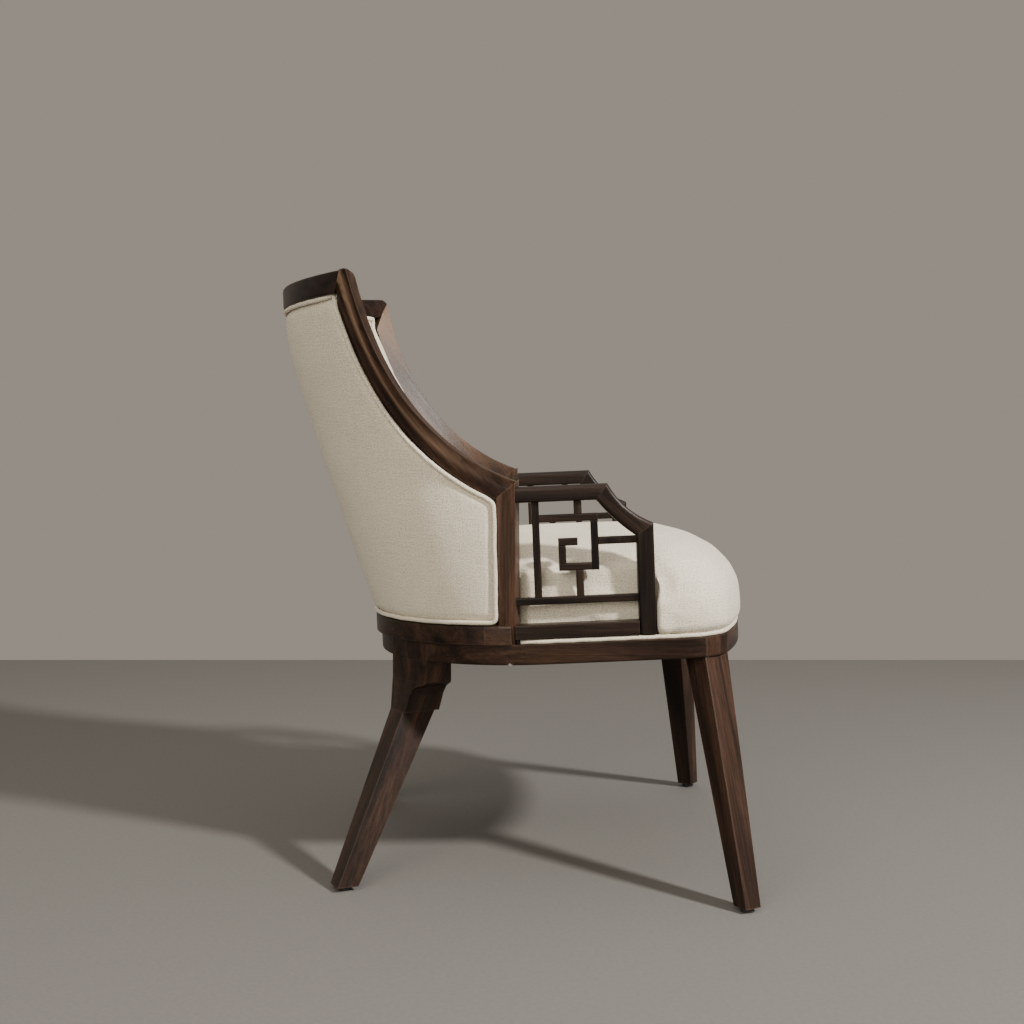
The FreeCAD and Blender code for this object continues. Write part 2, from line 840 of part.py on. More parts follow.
def corner_zone():
    """Part of the seat ring that belongs to the front leg on the sitter's left."""
    return block(front_leg_joint_x, reach_across, -reach_across, front_leg_top_y, -overrun, overrun)


# Legs

def quad(start, wide, deep):
    """Four-sided section of a leg with eased corners."""
    return eased([start, start + wide, start + wide + deep, start + deep], leg_edge_round, range(4))


def turned_quad(x, y, z, width, depth, angle):
    """Section of the front leg about its middle; angle turns the wide side from the X axis."""
    turn = math.radians(angle)
    along = vec(-math.cos(turn), -math.sin(turn), 0)
    inward = vec(-math.sin(turn), math.cos(turn), 0)
    return quad(vec(x, y, z) - along * (width / 2) - inward * (depth / 2), along * width, inward * depth)


def front_leg_body():
    """Straight splayed taper from above the seat plane down to the glide."""
    level = seat_plane_height - front_leg_measure_drop
    turn = math.radians(front_leg_top_angle)
    middle_x = front_leg_top_x - (math.cos(turn) * front_leg_top_width + math.sin(turn) * front_leg_top_depth) / 2
    middle_y = front_leg_top_y - (math.sin(turn) * front_leg_top_width - math.cos(turn) * front_leg_top_depth) / 2
    growth = 1 + overrun / (level - glide_height)

    def at_top(foot_value, level_value):
        """Carry a value on in a straight line from the foot past the measured level."""
        return foot_value + (level_value - foot_value) * growth

    top = turned_quad(at_top(front_foot_x, middle_x), at_top(front_foot_y, middle_y), level + overrun,
                      at_top(front_foot_size, front_leg_top_width), at_top(front_foot_size, front_leg_top_depth),
                      at_top(front_foot_angle, front_leg_top_angle))
    foot = turned_quad(front_foot_x, front_foot_y, glide_height, front_foot_size, front_foot_size, front_foot_angle)
    return Part.makeLoft([top, foot], True, True)


def rear_quad(z, width, depth, angle, drift):
    """Section of the rear leg's block, held by its rear-facing outer edge."""
    turn = math.radians(angle)
    along = vec(math.cos(turn), -math.sin(turn), 0)
    inward = vec(-math.sin(turn), -math.cos(turn), 0)
    start = vec(rear_block_x + drift * scoop_drift_x, rear_block_y + drift * scoop_drift_y, z)
    return quad(start, along * width, inward * depth)


def rear_leg_body():
    """Upright block, scooped in at its front, over a splayed tapered leg."""
    block_low = seat_plane_height - rear_block_drop
    upright = Part.makeLoft([
        rear_quad(seat_plane_height + seat_rail_height, rear_block_width, rear_block_depth, rear_block_angle, 0),
        rear_quad(block_low, rear_block_width, rear_block_depth, rear_block_angle, 0),
    ], True, True)
    wires = []
    for fall, narrowing, deepening in zip(scoop_fall_share, scoop_width_share, scoop_depth_share):
        width = rear_block_width + (scoop_width - rear_block_width) * narrowing
        depth = rear_block_depth + (scoop_depth - rear_block_depth) * deepening
        angle = rear_block_angle + (scoop_angle - rear_block_angle) * fall
        wires.append(rear_quad(block_low - scoop_height * fall, width, depth, angle, fall))
    scoop = Part.makeLoft(wires, True, True)
    neck = rear_quad(block_low - scoop_height, rear_neck_width, rear_neck_depth, rear_neck_angle, 1)
    turn = math.radians(rear_foot_angle)
    along = vec(math.cos(turn), -math.sin(turn), 0)
    inward = vec(-math.sin(turn), -math.cos(turn), 0)
    start = vec(rear_foot_x, rear_foot_y, glide_height) - (along + inward) * (rear_foot_size / 2)
    foot = quad(start, along * rear_foot_size, inward * rear_foot_size)
    lower = Part.makeLoft([neck, foot], True, True)
    return upright.fuse([scoop, lower]).removeSplitter()


def above_seat_plane():
    return on_seat_plane(half_space(ORIGIN, Z_AXIS))


def build_legs(ring):
    """Front and rear leg of the sitter's left side, each with its share of the seat ring."""
    mortises = {name: on_seat_plane(shape) for name, shape in leg_tenons(fit_gap).items()}
    front_block = on_seat_plane(ring.common(corner_zone()))
    front = front_leg_body().cut(above_seat_plane()).fuse(front_block)
    front = front.cut(mortises["front"]).cut(mortises["side_front"])
    rear_zone = rear_wedge(rear_joint_angle, side_joint_angle)
    rear_block_ring = on_seat_plane(ring.common(rear_zone))
    rear = rear_leg_body().cut(above_seat_plane()).fuse(rear_block_ring)
    rear = rear.cut(mortises["side_rear"]).cut(mortises["rear"])
    return single(front), single(rear)


def build_seat_rails(ring, front_leg, rear_leg):
    """Front, side and rear rails between the legs, with their tenons."""
    tenons = {name: on_seat_plane(shape) for name, shape in leg_tenons(0).items()}
    far = reach_across
    front = ring.common(block(-front_leg_joint_x, front_leg_joint_x, -far, rear_centre_y, -overrun, overrun))
    side_front = block(0, far, front_leg_top_y, rear_centre_y, -overrun, overrun)
    side = ring.common(side_front.fuse(rear_wedge(side_joint_angle, 90)))
    rear = ring.common(rear_wedge(-rear_joint_angle, rear_joint_angle))
    front = on_seat_plane(front).cut(front_leg).cut(mirrored(front_leg))
    front = single(front).fuse([tenons["front"], mirrored(tenons["front"])])
    side = single(on_seat_plane(single(side)).cut(front_leg).cut(rear_leg))
    side = side.fuse([tenons["side_front"], tenons["side_rear"]])
    rear = single(on_seat_plane(rear).cut(rear_leg).cut(mirrored(rear_leg)))
    rear = rear.fuse([tenons["rear"], mirrored(tenons["rear"])])
    return single(front.removeSplitter()), single(side.removeSplitter()), single(rear.removeSplitter())


# Arms, built on the sitter's left

arm_inner_x = arm_centre_x - arm_thickness / 2
arm_outer_x = arm_centre_x + arm_thickness / 2
arm_window_length = fret_window_rear_y - arm_post_rear_y
arm_window_height = armrest_top - armrest_height - arm_rail_height
Y_AXIS = vec(0, 1, 0)


def arm_section(low, top):
    """Rounded section of the arm between two points of its side view."""
    inner = vec(arm_inner_x, 0, 0)
    outer = vec(arm_outer_x, 0, 0)
    radius = min(armrest_round, half_wall_share * arm_thickness)
    return eased([inner + low, outer + low, outer + top, inner + top], radius, range(4))


def armrest(post):
    """Straight armrest from the back post to its mitre."""
    low = armrest_top - armrest_height
    rear_y = post_arris_y(armrest_top)
    rear = arm_section(vec(0, rear_y, low), vec(0, rear_y, armrest_top))
    mitre = arm_section(vec(0, armrest_mitre_low_y, low), vec(0, armrest_mitre_top_y, armrest_top))
    bar = Part.makeLoft([rear, mitre], True, True)
    return min(bar.cut(post).Solids, key=lambda solid: solid.CenterOfMass.y)


def sagged(start, end, sag, share):
    """Point at a share of a side-view line that dips by sag at its middle."""
    run = end - start
    normal = vec(0, run.z, -run.y).normalize()
    if normal.z > 0:
        normal = normal * -1
    return start + run * share + normal * (4 * sag * share * (1 - share))


def arm_swoop():
    """Curved piece that drops from the armrest to the front arm post."""
    top_start = vec(0, armrest_mitre_top_y, armrest_top)
    low_start = vec(0, armrest_mitre_low_y, armrest_top - armrest_height)
    top_end = vec(0, arm_post_front_y, swoop_end_top_z)
    low_end = vec(0, arm_post_rear_y, swoop_end_low_z)
    sections = []
    for index in range(swoop_stations):
        share = index / (swoop_stations - 1)
        low = sagged(low_start, low_end, swoop_low_sag, share)
        top = sagged(top_start, top_end, swoop_top_sag, share)
        sections.append(arm_section(low, top))
    return Part.makeLoft(sections, True, False, False, 3)


def welt_notch():
    """Room for the seat's welt along the outer foot of the arm."""
    room = 2 * seat_welt_radius + welt_room
    side = block(arm_inner_x, arm_outer_x + overrun, -reach_across, reach_across, -overrun, room)
    return side.cut(plan_slab(seat_outline(room), -2 * overrun, 2 * overrun))


def arm_post():
    """Front arm post, cut at the top to meet the swoop."""
    foot = arm_section(vec(0, arm_post_rear_y, 0), vec(0, arm_post_front_y, 0))
    head = arm_section(vec(0, arm_post_rear_y, swoop_end_low_z), vec(0, arm_post_front_y, swoop_end_top_z))
    return single(Part.makeLoft([foot, head], True, True).cut(welt_notch()))


def arm_bottom_rail(post):
    """Lower rail of the arm, rebated along its outer edge for the seat's welt."""
    rear_y = post_arris_y(arm_rail_height)
    rail = block(arm_inner_x, arm_outer_x, arm_post_rear_y, rear_y, 0, arm_rail_height)
    rail = rounded_along(rail, arm_rail_round, Y_AXIS, arm_thickness)
    rail = rail.cut(welt_notch()).cut(post)
    return min(rail.Solids, key=lambda solid: solid.CenterOfMass.y)


def fret_y(name):
    return fret_window_rear_y - fret_column_share[name] * arm_window_length


def fret_z(name):
    return arm_rail_height + fret_row_share[name] * arm_window_height


def fret_piece(y0, y1, z0, z1):
    """One square bar of the fret with eased long edges."""
    bar = block(arm_centre_x - fret_bar / 2, arm_centre_x + fret_bar / 2, min(y0, y1), max(y0, y1), z0, z1)
    axis = Z_AXIS if z1 - z0 > abs(y1 - y0) else Y_AXIS
    return rounded_along(bar, fret_round, axis, fret_bar)


def fret_pieces(post):
    """The key fret of one arm, by node name."""
    half = fret_bar / 2
    low_z = fret_z("lower")
    bottom_z = fret_z("bottom")
    side_z = fret_z("side")
    top_z = fret_z("top")
    stile_y = fret_y("stile")
    inner_y = fret_y("inner")
    right_y = fret_y("right")
    strut_y = fret_y("strut")
    rest_low = armrest_top - armrest_height
    lower_rail = fret_piece(post_front_foot_y + fret_bar, arm_post_rear_y, low_z - half, low_z + half)
    lower_rail = min(lower_rail.cut(post).Solids, key=lambda solid: solid.CenterOfMass.y)
    struts = [
        fret_piece(strut_y - half, strut_y + half, top_z + half, rest_low),
        fret_piece(strut_y - half, strut_y + half, low_z + half, bottom_z - half),
        fret_piece(right_y - half, arm_post_rear_y, side_z - half, side_z + half),
    ]
    return {
        "fret_lower_rail": lower_rail,
        "fret_long_stile": fret_piece(stile_y - half, stile_y + half, low_z + half, rest_low),
        "fret_top_bar": fret_piece(stile_y - half, right_y - half, top_z - half, top_z + half),
        "fret_front_stile": fret_piece(right_y - half, right_y + half, bottom_z - half, top_z - half),
        "fret_bottom_bar": fret_piece(right_y + half, inner_y + half, bottom_z - half, bottom_z + half),
        "fret_inner_stile": fret_piece(inner_y - half, inner_y + half, bottom_z + half, side_z - half),
        "fret_stub": fret_piece(inner_y + half, fret_y("stub_tip"), side_z - half, side_z + half),
        "fret_struts": Part.makeCompound(struts),
    }


# Seat upholstery

def seat_dome(shrink, z_low):
    """Crowned seat cushion, shrink smaller all round, from z_low up."""
    wires = []
    height = seat_crown_height - shrink
    run = seat_crown_run - shrink
    for share in crown_station_share:
        turn = math.radians(seat_crown_turn) * share
        wire = seat_outline(shrink - seat_overhang + run * (1 - math.cos(turn)))
        wire.translate(vec(0, 0, seat_bulge_height + height * math.sin(turn) ** seat_fullness_power))
        wires.append(wire)
    crown = Part.makeLoft(wires, True, True)
    lip_z = 2 * seat_welt_radius + fit_gap
    tuck = plan_slab(seat_outline(seat_tuck + shrink), z_low, lip_z + shrink)
    low = seat_outline(seat_lip + shrink)
    low.translate(vec(0, 0, lip_z + shrink))
    high = seat_outline(shrink - seat_overhang)
    high.translate(vec(0, 0, seat_bulge_height))
    skirt = Part.makeLoft([low, high], True, True)
    return crown.fuse([skirt, tuck])


def arm_clearance():
    """Space that the seat leaves free for one arm and its back post."""
    post_x = barrel_x(post_rear_foot_y, 0) - frame_thickness
    arm = block(arm_inner_x - soft_gap, reach_across, arm_post_front_y - soft_gap, reach_across,
                -overrun, reach_across)
    post = block(post_x - soft_gap, reach_across, post_front_head_y - soft_gap, reach_across,
                 -overrun, reach_across)
    return arm.fuse(post)


def seat_clearance():
    """Everything that the seat cushion has to leave free: both arms and the back."""
    side = arm_clearance()
    pad_face = skin_in + welt_proud + soft_gap
    top = seat_bulge_height + seat_crown_height + overrun
    wires = [barrel_plan(z, pad_face, -inner_crown) for z in (-overrun, back_rail_height, top)]
    room = Part.makeLoft(wires, True, True)
    rear = block(-reach_across, reach_across, 0, reach_across, -overrun, top).cut(room)
    return side.fuse([mirrored(side), rear])


def seat_solids():
    """Foam block and cover of the seat."""
    taken = seat_clearance()
    base = 2 * seat_webbing_thickness
    cover = seat_dome(0, 0).cut(seat_dome(cover_thickness, -overrun))
    cover = single(cover.cut(taken))
    foam = single(seat_dome(cover_thickness + fit_gap, base).cut(taken))
    return foam, cover


def welt_side(sign):
    """Body inside the welt's outer face, or inside its inner face if sign is -1."""
    wires = []
    for step in range(welt_sides // 2 + 1):
        turn = math.pi * (2 * step / welt_sides - 0.5)
        wire = seat_outline(seat_welt_radius * (1 - sign * math.cos(turn)))
        wire.translate(vec(0, 0, seat_welt_radius * (1 + math.sin(turn))))
        wires.append(wire)
    return Part.makeLoft(wires, True, True)


def seat_welt():
    """Piping along the seat's lower edge from one back post round the front to the other."""
    ring = welt_side(1).cut(welt_side(-1))
    front_part = block(-reach_across, reach_across, -reach_across, post_front_foot_y - fit_gap,
                       -overrun, overrun)
    return single(ring.common(front_part))


def seat_webbing():
    """Straps laid side to side on the rails, and front to back above them."""
    field = seat_outline(seat_strap_inset)
    arms = arm_clearance()
    arms = arms.fuse(mirrored(arms))
    lower = plan_slab(field, 0, seat_webbing_thickness).cut(arms)
    upper = plan_slab(field, seat_webbing_thickness, 2 * seat_webbing_thickness).cut(arms)
    length = seat_front_reach + seat_rear_reach - 2 * seat_strap_inset
    width = 2 * (seat_half_width - seat_strap_inset)
    straps = []
    for index in range(seat_strap_count):
        share = (index + seat_strap_end_share) / (seat_strap_count - 1 + 2 * seat_strap_end_share)
        y = -seat_front_reach + seat_strap_inset + share * length
        x = -seat_half_width + seat_strap_inset + share * width
        across = block(-reach_across, reach_across, y - seat_strap_width / 2, y + seat_strap_width / 2,
                       -overrun, overrun)
        along = block(x - seat_strap_width / 2, x + seat_strap_width / 2, -reach_across, reach_across,
                      -overrun, overrun)
        straps.append(single(lower.common(across)))
        straps.append(single(upper.common(along)))
    return Part.makeCompound(straps)


def dust_cover(front_leg, rear_leg):
    """Thin black cloth tacked under the seat rails, cut round the legs."""
    high = -seat_rail_height
    sheet = on_seat_plane(plan_slab(seat_outline(dust_cover_inset), high - dust_cover_thickness, high))
    for leg in (front_leg, rear_leg):
        sheet = sheet.cut(leg).cut(mirrored(leg))
    return single(sheet)


def leg_bolt(foot, direction):
    """Bolt with a low head, its shank running along direction from foot."""
    shank = Part.makeCylinder(leg_bolt_radius, leg_bolt_length, foot, direction)
    head = Part.makeCylinder(leg_bolt_head_radius, leg_bolt_head_height,
                             foot - direction * leg_bolt_head_height, direction)
    return shank.fuse(head).removeSplitter()


def corner_fittings(ring_inner, front_leg, rear_leg):
    """Corner blocks behind the legs with their bolts, sitter's left."""
    low = -fit_gap - corner_block_height
    inner = plan_slab(ring_inner, low, -fit_gap)
    spots = []
    front_out = vec(1, -1, 0).normalize()
    rear_turn = math.radians((rear_joint_angle + side_joint_angle) / 2)
    rear_out = vec(math.sin(rear_turn), math.cos(rear_turn), 0)
    front_corner = vec(seat_half_width - seat_rail_thickness, -seat_front_reach + seat_rail_thickness, 0)
    rear_corner = vec(0, rear_centre_y, 0) + rear_out * (seat_half_width - seat_rail_thickness)
    for corner, outward, leg, inset in ((front_corner, front_out, front_leg, front_block_inset),
                                        (rear_corner, rear_out, rear_leg, rear_block_inset)):
        face = corner - outward * inset
        piece = inner.common(half_space(face, outward))
        spots.append((single(on_seat_plane(single(piece)).cut(leg)), face, outward))
    return spots


def build():
    ring = seat_ring()
    front_leg, rear_leg = build_legs(ring)
    front_rail, side_rail, rear_rail = build_seat_rails(ring, front_leg, rear_leg)
    post = back_post()
    nodes = {}
    pairs = {}
    nodes["crest_rail"] = on_seat_plane(crest_rail())
    nodes["back_bottom_rail"] = on_seat_plane(back_bottom_rail())
    pairs["back_stile"] = on_seat_plane(back_stile())
    pairs["back_post"] = on_seat_plane(post)
    pairs["back_rail_return"] = on_seat_plane(back_rail_return(post))
    for name, shape in back_layers().items():
        nodes[name] = on_seat_plane(shape)
    nodes["seat_rail_front"] = front_rail
    nodes["seat_rail_rear"] = rear_rail
    foam, cover = seat_solids()
    nodes["seat_foam"] = on_seat_plane(foam)
    nodes["seat_cover"] = on_seat_plane(cover)
    nodes["seat_welt"] = on_seat_plane(seat_welt())
    nodes["seat_webbing"] = on_seat_plane(seat_webbing())
    nodes["dust_cover"] = dust_cover(front_leg, rear_leg)
    pairs["armrest"] = on_seat_plane(armrest(post))
    pairs["arm_swoop"] = on_seat_plane(arm_swoop())
    pairs["arm_post"] = on_seat_plane(arm_post())
    for name, shape in fret_pieces(post).items():
        pairs[name] = on_seat_plane(shape)
    bottom_rail = on_seat_plane(arm_bottom_rail(post))
    bolts = []
    for share in arm_bolt_share:
        foot = vec(arm_centre_x, fret_window_rear_y - share * arm_window_length, -seat_rail_height)
        length = seat_rail_height + arm_bolt_bite
        shank = Part.makeCylinder(arm_bolt_radius, length, foot)
        head = Part.makeCylinder(arm_bolt_head_radius, arm_bolt_head_height, foot)
        hole = Part.makeCylinder(arm_bolt_radius + fit_gap, length + fit_gap, foot)
        sink = Part.makeCylinder(arm_bolt_head_radius + fit_gap, arm_bolt_head_height, foot)
        hole = on_seat_plane(hole.fuse(sink))
        side_rail = side_rail.cut(hole)
        bottom_rail = bottom_rail.cut(hole)
        pairs["back_post"] = pairs["back_post"].cut(hole)
        bolt = on_seat_plane(shank.fuse(head).removeSplitter())
        bolts += [bolt, mirrored(bolt)]
    nodes["arm_bolts"] = Part.makeCompound(bolts)
    pairs["back_post"] = single(pairs["back_post"])
    pairs["seat_rail"] = single(side_rail)
    pairs["arm_bottom_rail"] = single(bottom_rail)
    blocks = []
    leg_bolts = []
    inner = seat_outline(seat_rail_thickness)
    legs = [front_leg, rear_leg]
    for index, (piece, face, outward) in enumerate(corner_fittings(inner, front_leg, rear_leg)):
        foot = face + vec(0, 0, -fit_gap - corner_block_height / 2)
        bolt = on_seat_plane(leg_bolt(foot, outward))
        hole = Part.makeCylinder(leg_bolt_radius + fit_gap, leg_bolt_length + fit_gap, foot, outward)
        hole = on_seat_plane(hole)
        legs[index] = single(legs[index].cut(hole))
        piece = single(piece.cut(hole))
        blocks += [piece, mirrored(piece)]
        leg_bolts += [bolt, mirrored(bolt)]
    pairs["leg_front"], pairs["leg_rear"] = legs
    nodes["corner_blocks"] = Part.makeCompound(blocks)
    nodes["leg_bolts"] = Part.makeCompound(leg_bolts)
    glides = []
    for x, y in ((front_foot_x, front_foot_y), (rear_foot_x, rear_foot_y)):
        for sign in (1, -1):
            glides.append(Part.makeCylinder(glide_radius, glide_height, vec(sign * x, y, 0)))
    nodes["glides"] = Part.makeCompound(glides)
    for name, shape in pairs.items():
        nodes[name + "_left"] = shape
        nodes[name + "_right"] = mirrored(shape)
    return nodes


def centred(nodes):
    """Move the chair so that its origin is at the bottom centre of its whole box."""
    whole = Part.makeCompound(list(nodes.values())).optimalBoundingBox(False)
    shift = vec(-whole.Center.x, -whole.Center.y, 0)
    for shape in nodes.values():
        shape.translate(shift)
    print("moved along Y by %.3f, box %.1f x %.1f x %.1f" % (shift.y, whole.XLength, whole.YLength, whole.ZMax))


def main():
    nodes = build()
    centred(nodes)
    os.makedirs("parts", exist_ok=True)
    for name, shape in nodes.items():
        solids = shape.Solids
        print("%-24s solids %d volume %9.0f valid %s" % (name, len(solids), shape.Volume, shape.isValid()))
        shape.exportStep("parts/%s.step" % name)


main()
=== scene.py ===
import json
import math

import bmesh
import bpy
from mathutils import Euler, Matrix, Vector, kdtree, noise


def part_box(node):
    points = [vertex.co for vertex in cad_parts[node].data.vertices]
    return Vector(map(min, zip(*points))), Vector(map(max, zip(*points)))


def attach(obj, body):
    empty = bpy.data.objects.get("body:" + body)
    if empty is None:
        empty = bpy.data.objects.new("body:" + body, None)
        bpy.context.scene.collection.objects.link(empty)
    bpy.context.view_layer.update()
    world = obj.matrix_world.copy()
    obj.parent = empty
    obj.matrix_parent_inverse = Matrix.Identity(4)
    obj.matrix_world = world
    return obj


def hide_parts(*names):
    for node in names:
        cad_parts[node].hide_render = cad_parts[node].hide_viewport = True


# Upholstered armchair seen from its sitter's right. Lengths are metres, angles are degrees.
# The chair faces -Y, the sitter's left is +X and it stands on Z = 0.

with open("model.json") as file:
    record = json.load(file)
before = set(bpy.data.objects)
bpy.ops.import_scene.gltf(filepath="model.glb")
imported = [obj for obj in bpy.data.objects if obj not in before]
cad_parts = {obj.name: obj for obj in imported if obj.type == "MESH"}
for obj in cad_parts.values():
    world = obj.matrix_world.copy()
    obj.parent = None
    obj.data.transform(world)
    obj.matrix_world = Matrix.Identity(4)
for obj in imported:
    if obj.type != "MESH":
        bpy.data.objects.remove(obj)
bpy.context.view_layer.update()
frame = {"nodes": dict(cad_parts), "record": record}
nodes = frame["nodes"]

# Camera of the photograph
camera_distance = 2.389
camera_side = 0.0021
camera_height = 0.708
camera_pitch = 3.79
focal_pixels = 1450.0
image_pixels = 1024.0
sensor_width = 36.0

# Light
chair_middle = Vector((0, 0, 0.45))
key_turn = 52.9
key_height = 35.3
key_distance = 4.76
key_size = 0.42
key_power = 345.0
key_colour = (1.0, 0.97, 0.92)
fill_direction = Vector((-1.0, 0.35, 0.5))
fill_distance = 3.6
fill_size = 3.0
fill_power = 80.0
fill_colour = (1.0, 0.93, 0.82)
top_height = 3.2
top_size = 3.4
top_power = 40.0
top_colour = (1.0, 0.99, 0.97)
world_strength = 0.53
world_colour = (0.60, 0.535, 0.455, 1.0)
floor_dark = (0.140, 0.134, 0.124, 1.0)
floor_light = (0.156, 0.149, 0.138, 1.0)
floor_colours = [(0.3, floor_dark), (0.7, floor_light)]
floor_waves = (140.0, 140.0, 140.0)
floor_roughness = 0.8
floor_reach = 14.0
floor_far_edge = 1.79

# Upholstery: the grid of each remeshed pad, and how often it is smoothed
seat_voxel = 0.005
seat_rounds = 8
back_voxel = 0.004
back_rounds = 3
panel_voxel = 0.003
panel_rounds = 2
smooth_share = 0.5
welt_voxel = 0.0016
welt_radius = 0.0034
welt_bins = 480
welt_step = 0.004
welt_sides = 12
welt_rounds = 1
welt_gap_share = 1 / 40
seat_fill = 0.9
back_fill = 0.85
panel_fill = 0.7
seat_swell = 0.0028
back_swell = 0.0045
panel_swell = 0.0015
seam_sink = 0.0020
seat_settle = 0.005
seat_settle_from = 0.42
seat_fade = 0.022
back_fade = 0.020
panel_fade = 0.016
corner_reach = 0.026
outer_corner_pull = Vector((0.0, -0.0055, 0.0043))
inner_corner_pull = Vector((0.0, -0.0100, -0.0010))
corner_lean = 0.3
piping_proud = 0.001
held_share = 0.15
ripple_height = 0.0007
ripple_length = 0.075
seat_dents = (((0.243, -0.222, 0.456), (0.042, 0.024, 0.036), 0.009),
              ((0.250, -0.238, 0.398), (0.036, 0.016, 0.034), 0.004))
cloth_pressure = 4.0
cloth_frames = 20
cloth_settings = {
    "quality": 4,
    "mass": 0.3,
    "tension_stiffness": 18.0,
    "compression_stiffness": 18.0,
    "shear_stiffness": 6.0,
    "bending_stiffness": 1.5,
    "use_pressure": True,
    "uniform_pressure_force": cloth_pressure,
}
barrel_axis_y = -0.03
barrel_cloth_radius = 0.30
panel_middle = 0.62
panel_half_height = 0.22
panel_half_turn = 1.3
seat_middle_y = -0.05
seat_top_normal = 0.55
split_angle = 42.0
weld_reach = 0.00002
shortest_step = 1e-9
staple_spacing = 0.024
staple_length = 0.010
staple_thickness = 0.0009
staple_inset = 0.006
staple_sides = 6
lining_spacing = 0.020
lining_cuts = 6
lining_rounds = 120
lining_load = 0.000004
lining_thickness = 0.0006
lining_face_normal = -0.9

# Cloth: its colour on the raised threads and the painted shade where the weave lies low, waves per metre
# along both threads, and depth
cloth_light = (0.86, 0.78, 0.645, 1.0)
cloth_shade = (0.60, 0.54, 0.42, 1.0)
thread_period = 0.0021
thread_wander = 5.0
wander_waves = (260.0, 260.0, 1.0)
warp_waves = (25.0, 520.0, 1.0)
weft_waves = (520.0, 25.0, 1.0)
stain_waves = (6.0, 6.0, 1.0)
fuzz_waves = (900.0, 900.0, 1.0)
nub_waves = (420.0, 420.0, 1.0)
slub_height_share = 1.6
fuzz_height_share = 0.8
nub_height_share = 1.6
weave_depth = 0.0007
weave_bump = 0.7
cloth_roughness = 0.9
cloth_specular = 0.25
cloth_sheen = 0.18
sheen_roughness = 0.5

# Wood: waves per metre along and across the grain, the bands at its edges, and the pores' depth
figure_waves = (2.2, 34.0, 34.0)
streak_waves = (7.0, 330.0, 330.0)
pore_waves = (55.0, 1900.0, 1900.0)
cloud_waves = (5.0, 5.0, 5.0)
grain_shift = Vector((0.37, 0.53, 0.71))
worn_and_highlight_band = 0.0035
edge_round = 0.0012
pore_depth = 0.0006
wood_bump = 0.22
wood_roughness = (0.30, 0.44)
wood_specular = 0.20
front_leg_slope = Vector((0.30, -0.16, -1.0))
rear_leg_slope = Vector((0.30, 0.35, -1.0))

# Tones that a noise value lays over a colour: their share, and two (noise value, factor) pairs
streak_tone = (0.75, (0.28, 0.35), (0.70, 1.25))
pore_tone = (0.6, (0.34, 0.25), (0.46, 1.0))
cloud_tone = (0.5, (0.30, 0.65), (0.70, 1.30))
slub_tone = (0.8, (0.30, 0.82), (0.70, 1.10))
stain_tone = (0.6, (0.30, 0.93), (0.70, 1.04))
nub_tone = (0.9, (0.34, 0.80), (0.60, 1.12))
mottle_tone = (1.0, (0.30, 0.75), (0.70, 1.20))
mottle_bump = 0.3
mottle_roughness = 0.08

# Paler edges, partly worn and partly painted highlight; and the painted highlight on the stile's bead, on
# faces turned to the chair's sides, between its foot and head heights
worn_and_highlight_stops = [(0.02, (0.0, 0.0, 0.0, 1.0)), (0.14, (1.0, 1.0, 1.0, 1.0))]
worn_and_highlight_share = (0.10, 0.70)
streak_height_share = 0.5
pore_height_share = 0.9
highlight_low = 0.61
highlight_high = 0.73
highlight_head = 0.88
highlight_spread = 0.16
highlight_stops = [(0.88, (0.0, 0.0, 0.0, 1.0)), (0.985, (1.0, 1.0, 1.0, 1.0))]
highlight_share = (0.35, 1.0)

# Wood colours, from the pores to the lightest figure
wood_dark = (0.014, 0.008, 0.006, 1.0)
wood_middle = (0.040, 0.021, 0.014, 1.0)
wood_light = (0.092, 0.048, 0.030, 1.0)
# Paler colour of the edges, partly wear and partly painted highlight; then the painted highlight on the
# stile's bead
wood_worn_and_highlight = (0.150, 0.095, 0.066, 1.0)
wood_highlight_paint = (0.30, 0.19, 0.125, 1.0)
figure_colours = [(0.30, wood_dark), (0.50, wood_middle), (0.74, wood_light)]

# Factors on the wood's colour, by the start of the piece's name
tones = {
    "crest": (0.42, 0.44, 0.46, 1.0),
    "arm": (0.38, 0.43, 0.48, 1.0),
    "fret": (0.42, 0.46, 0.50, 1.0),
    "back_post": (1.25, 1.20, 1.15, 1.0),
    "back_stile": (1.05, 1.00, 0.95, 1.0),
    "leg": (0.85, 0.83, 0.82, 1.0),
    "back_bottom": (0.75, 0.75, 0.75, 1.0),
    "seat_rail": (0.80, 0.80, 0.80, 1.0),
}

# Plain materials of the inner parts: name, colour, roughness, metal share, waves per metre, depth
plain_finishes = {
    "frame_wood": ("raw_wood", (0.42, 0.28, 0.16, 1.0), 0.7, 0.0, 40.0, 0.0004),
    "padding": ("wadding", (0.80, 0.77, 0.66, 1.0), 0.95, 0.0, 220.0, 0.001),
    "webbing": ("strap_web", (0.20, 0.17, 0.13, 1.0), 0.85, 0.0, 600.0, 0.0006),
    "lining": ("lining_cloth", (0.025, 0.025, 0.027, 1.0), 0.9, 0.0, 900.0, 0.0003),
    "zinc_steel": ("zinc_steel", (0.60, 0.60, 0.58, 1.0), 0.38, 1.0, 300.0, 0.0001),
    "glide_rubber": ("glide_rubber", (0.018, 0.018, 0.018, 1.0), 0.55, 0.0, 500.0, 0.0002),
}

ALONG_X = Vector((1, 0, 0))
ALONG_Y = Vector((0, 1, 0))
ALONG_Z = Vector((0, 0, 1))


# Node trees

def new_material(name):
    """A material with an empty tree that ends in a Principled shader."""
    material = bpy.data.materials.new(name)
    material.use_nodes = True
    tree = material.node_tree
    shader = tree.nodes["Principled BSDF"]
    return material, tree, shader


def add_node(tree, kind, inputs=None, **settings):
    """Add a node, set its properties, and fill or link its inputs by name or index."""
    node = tree.nodes.new(kind)
    for key, value in settings.items():
        setattr(node, key, value)
    for key, value in (inputs or {}).items():
        socket = node.inputs[key]
        if isinstance(value, bpy.types.NodeSocket):
            tree.links.new(value, socket)
        else:
            socket.default_value = value
    return node


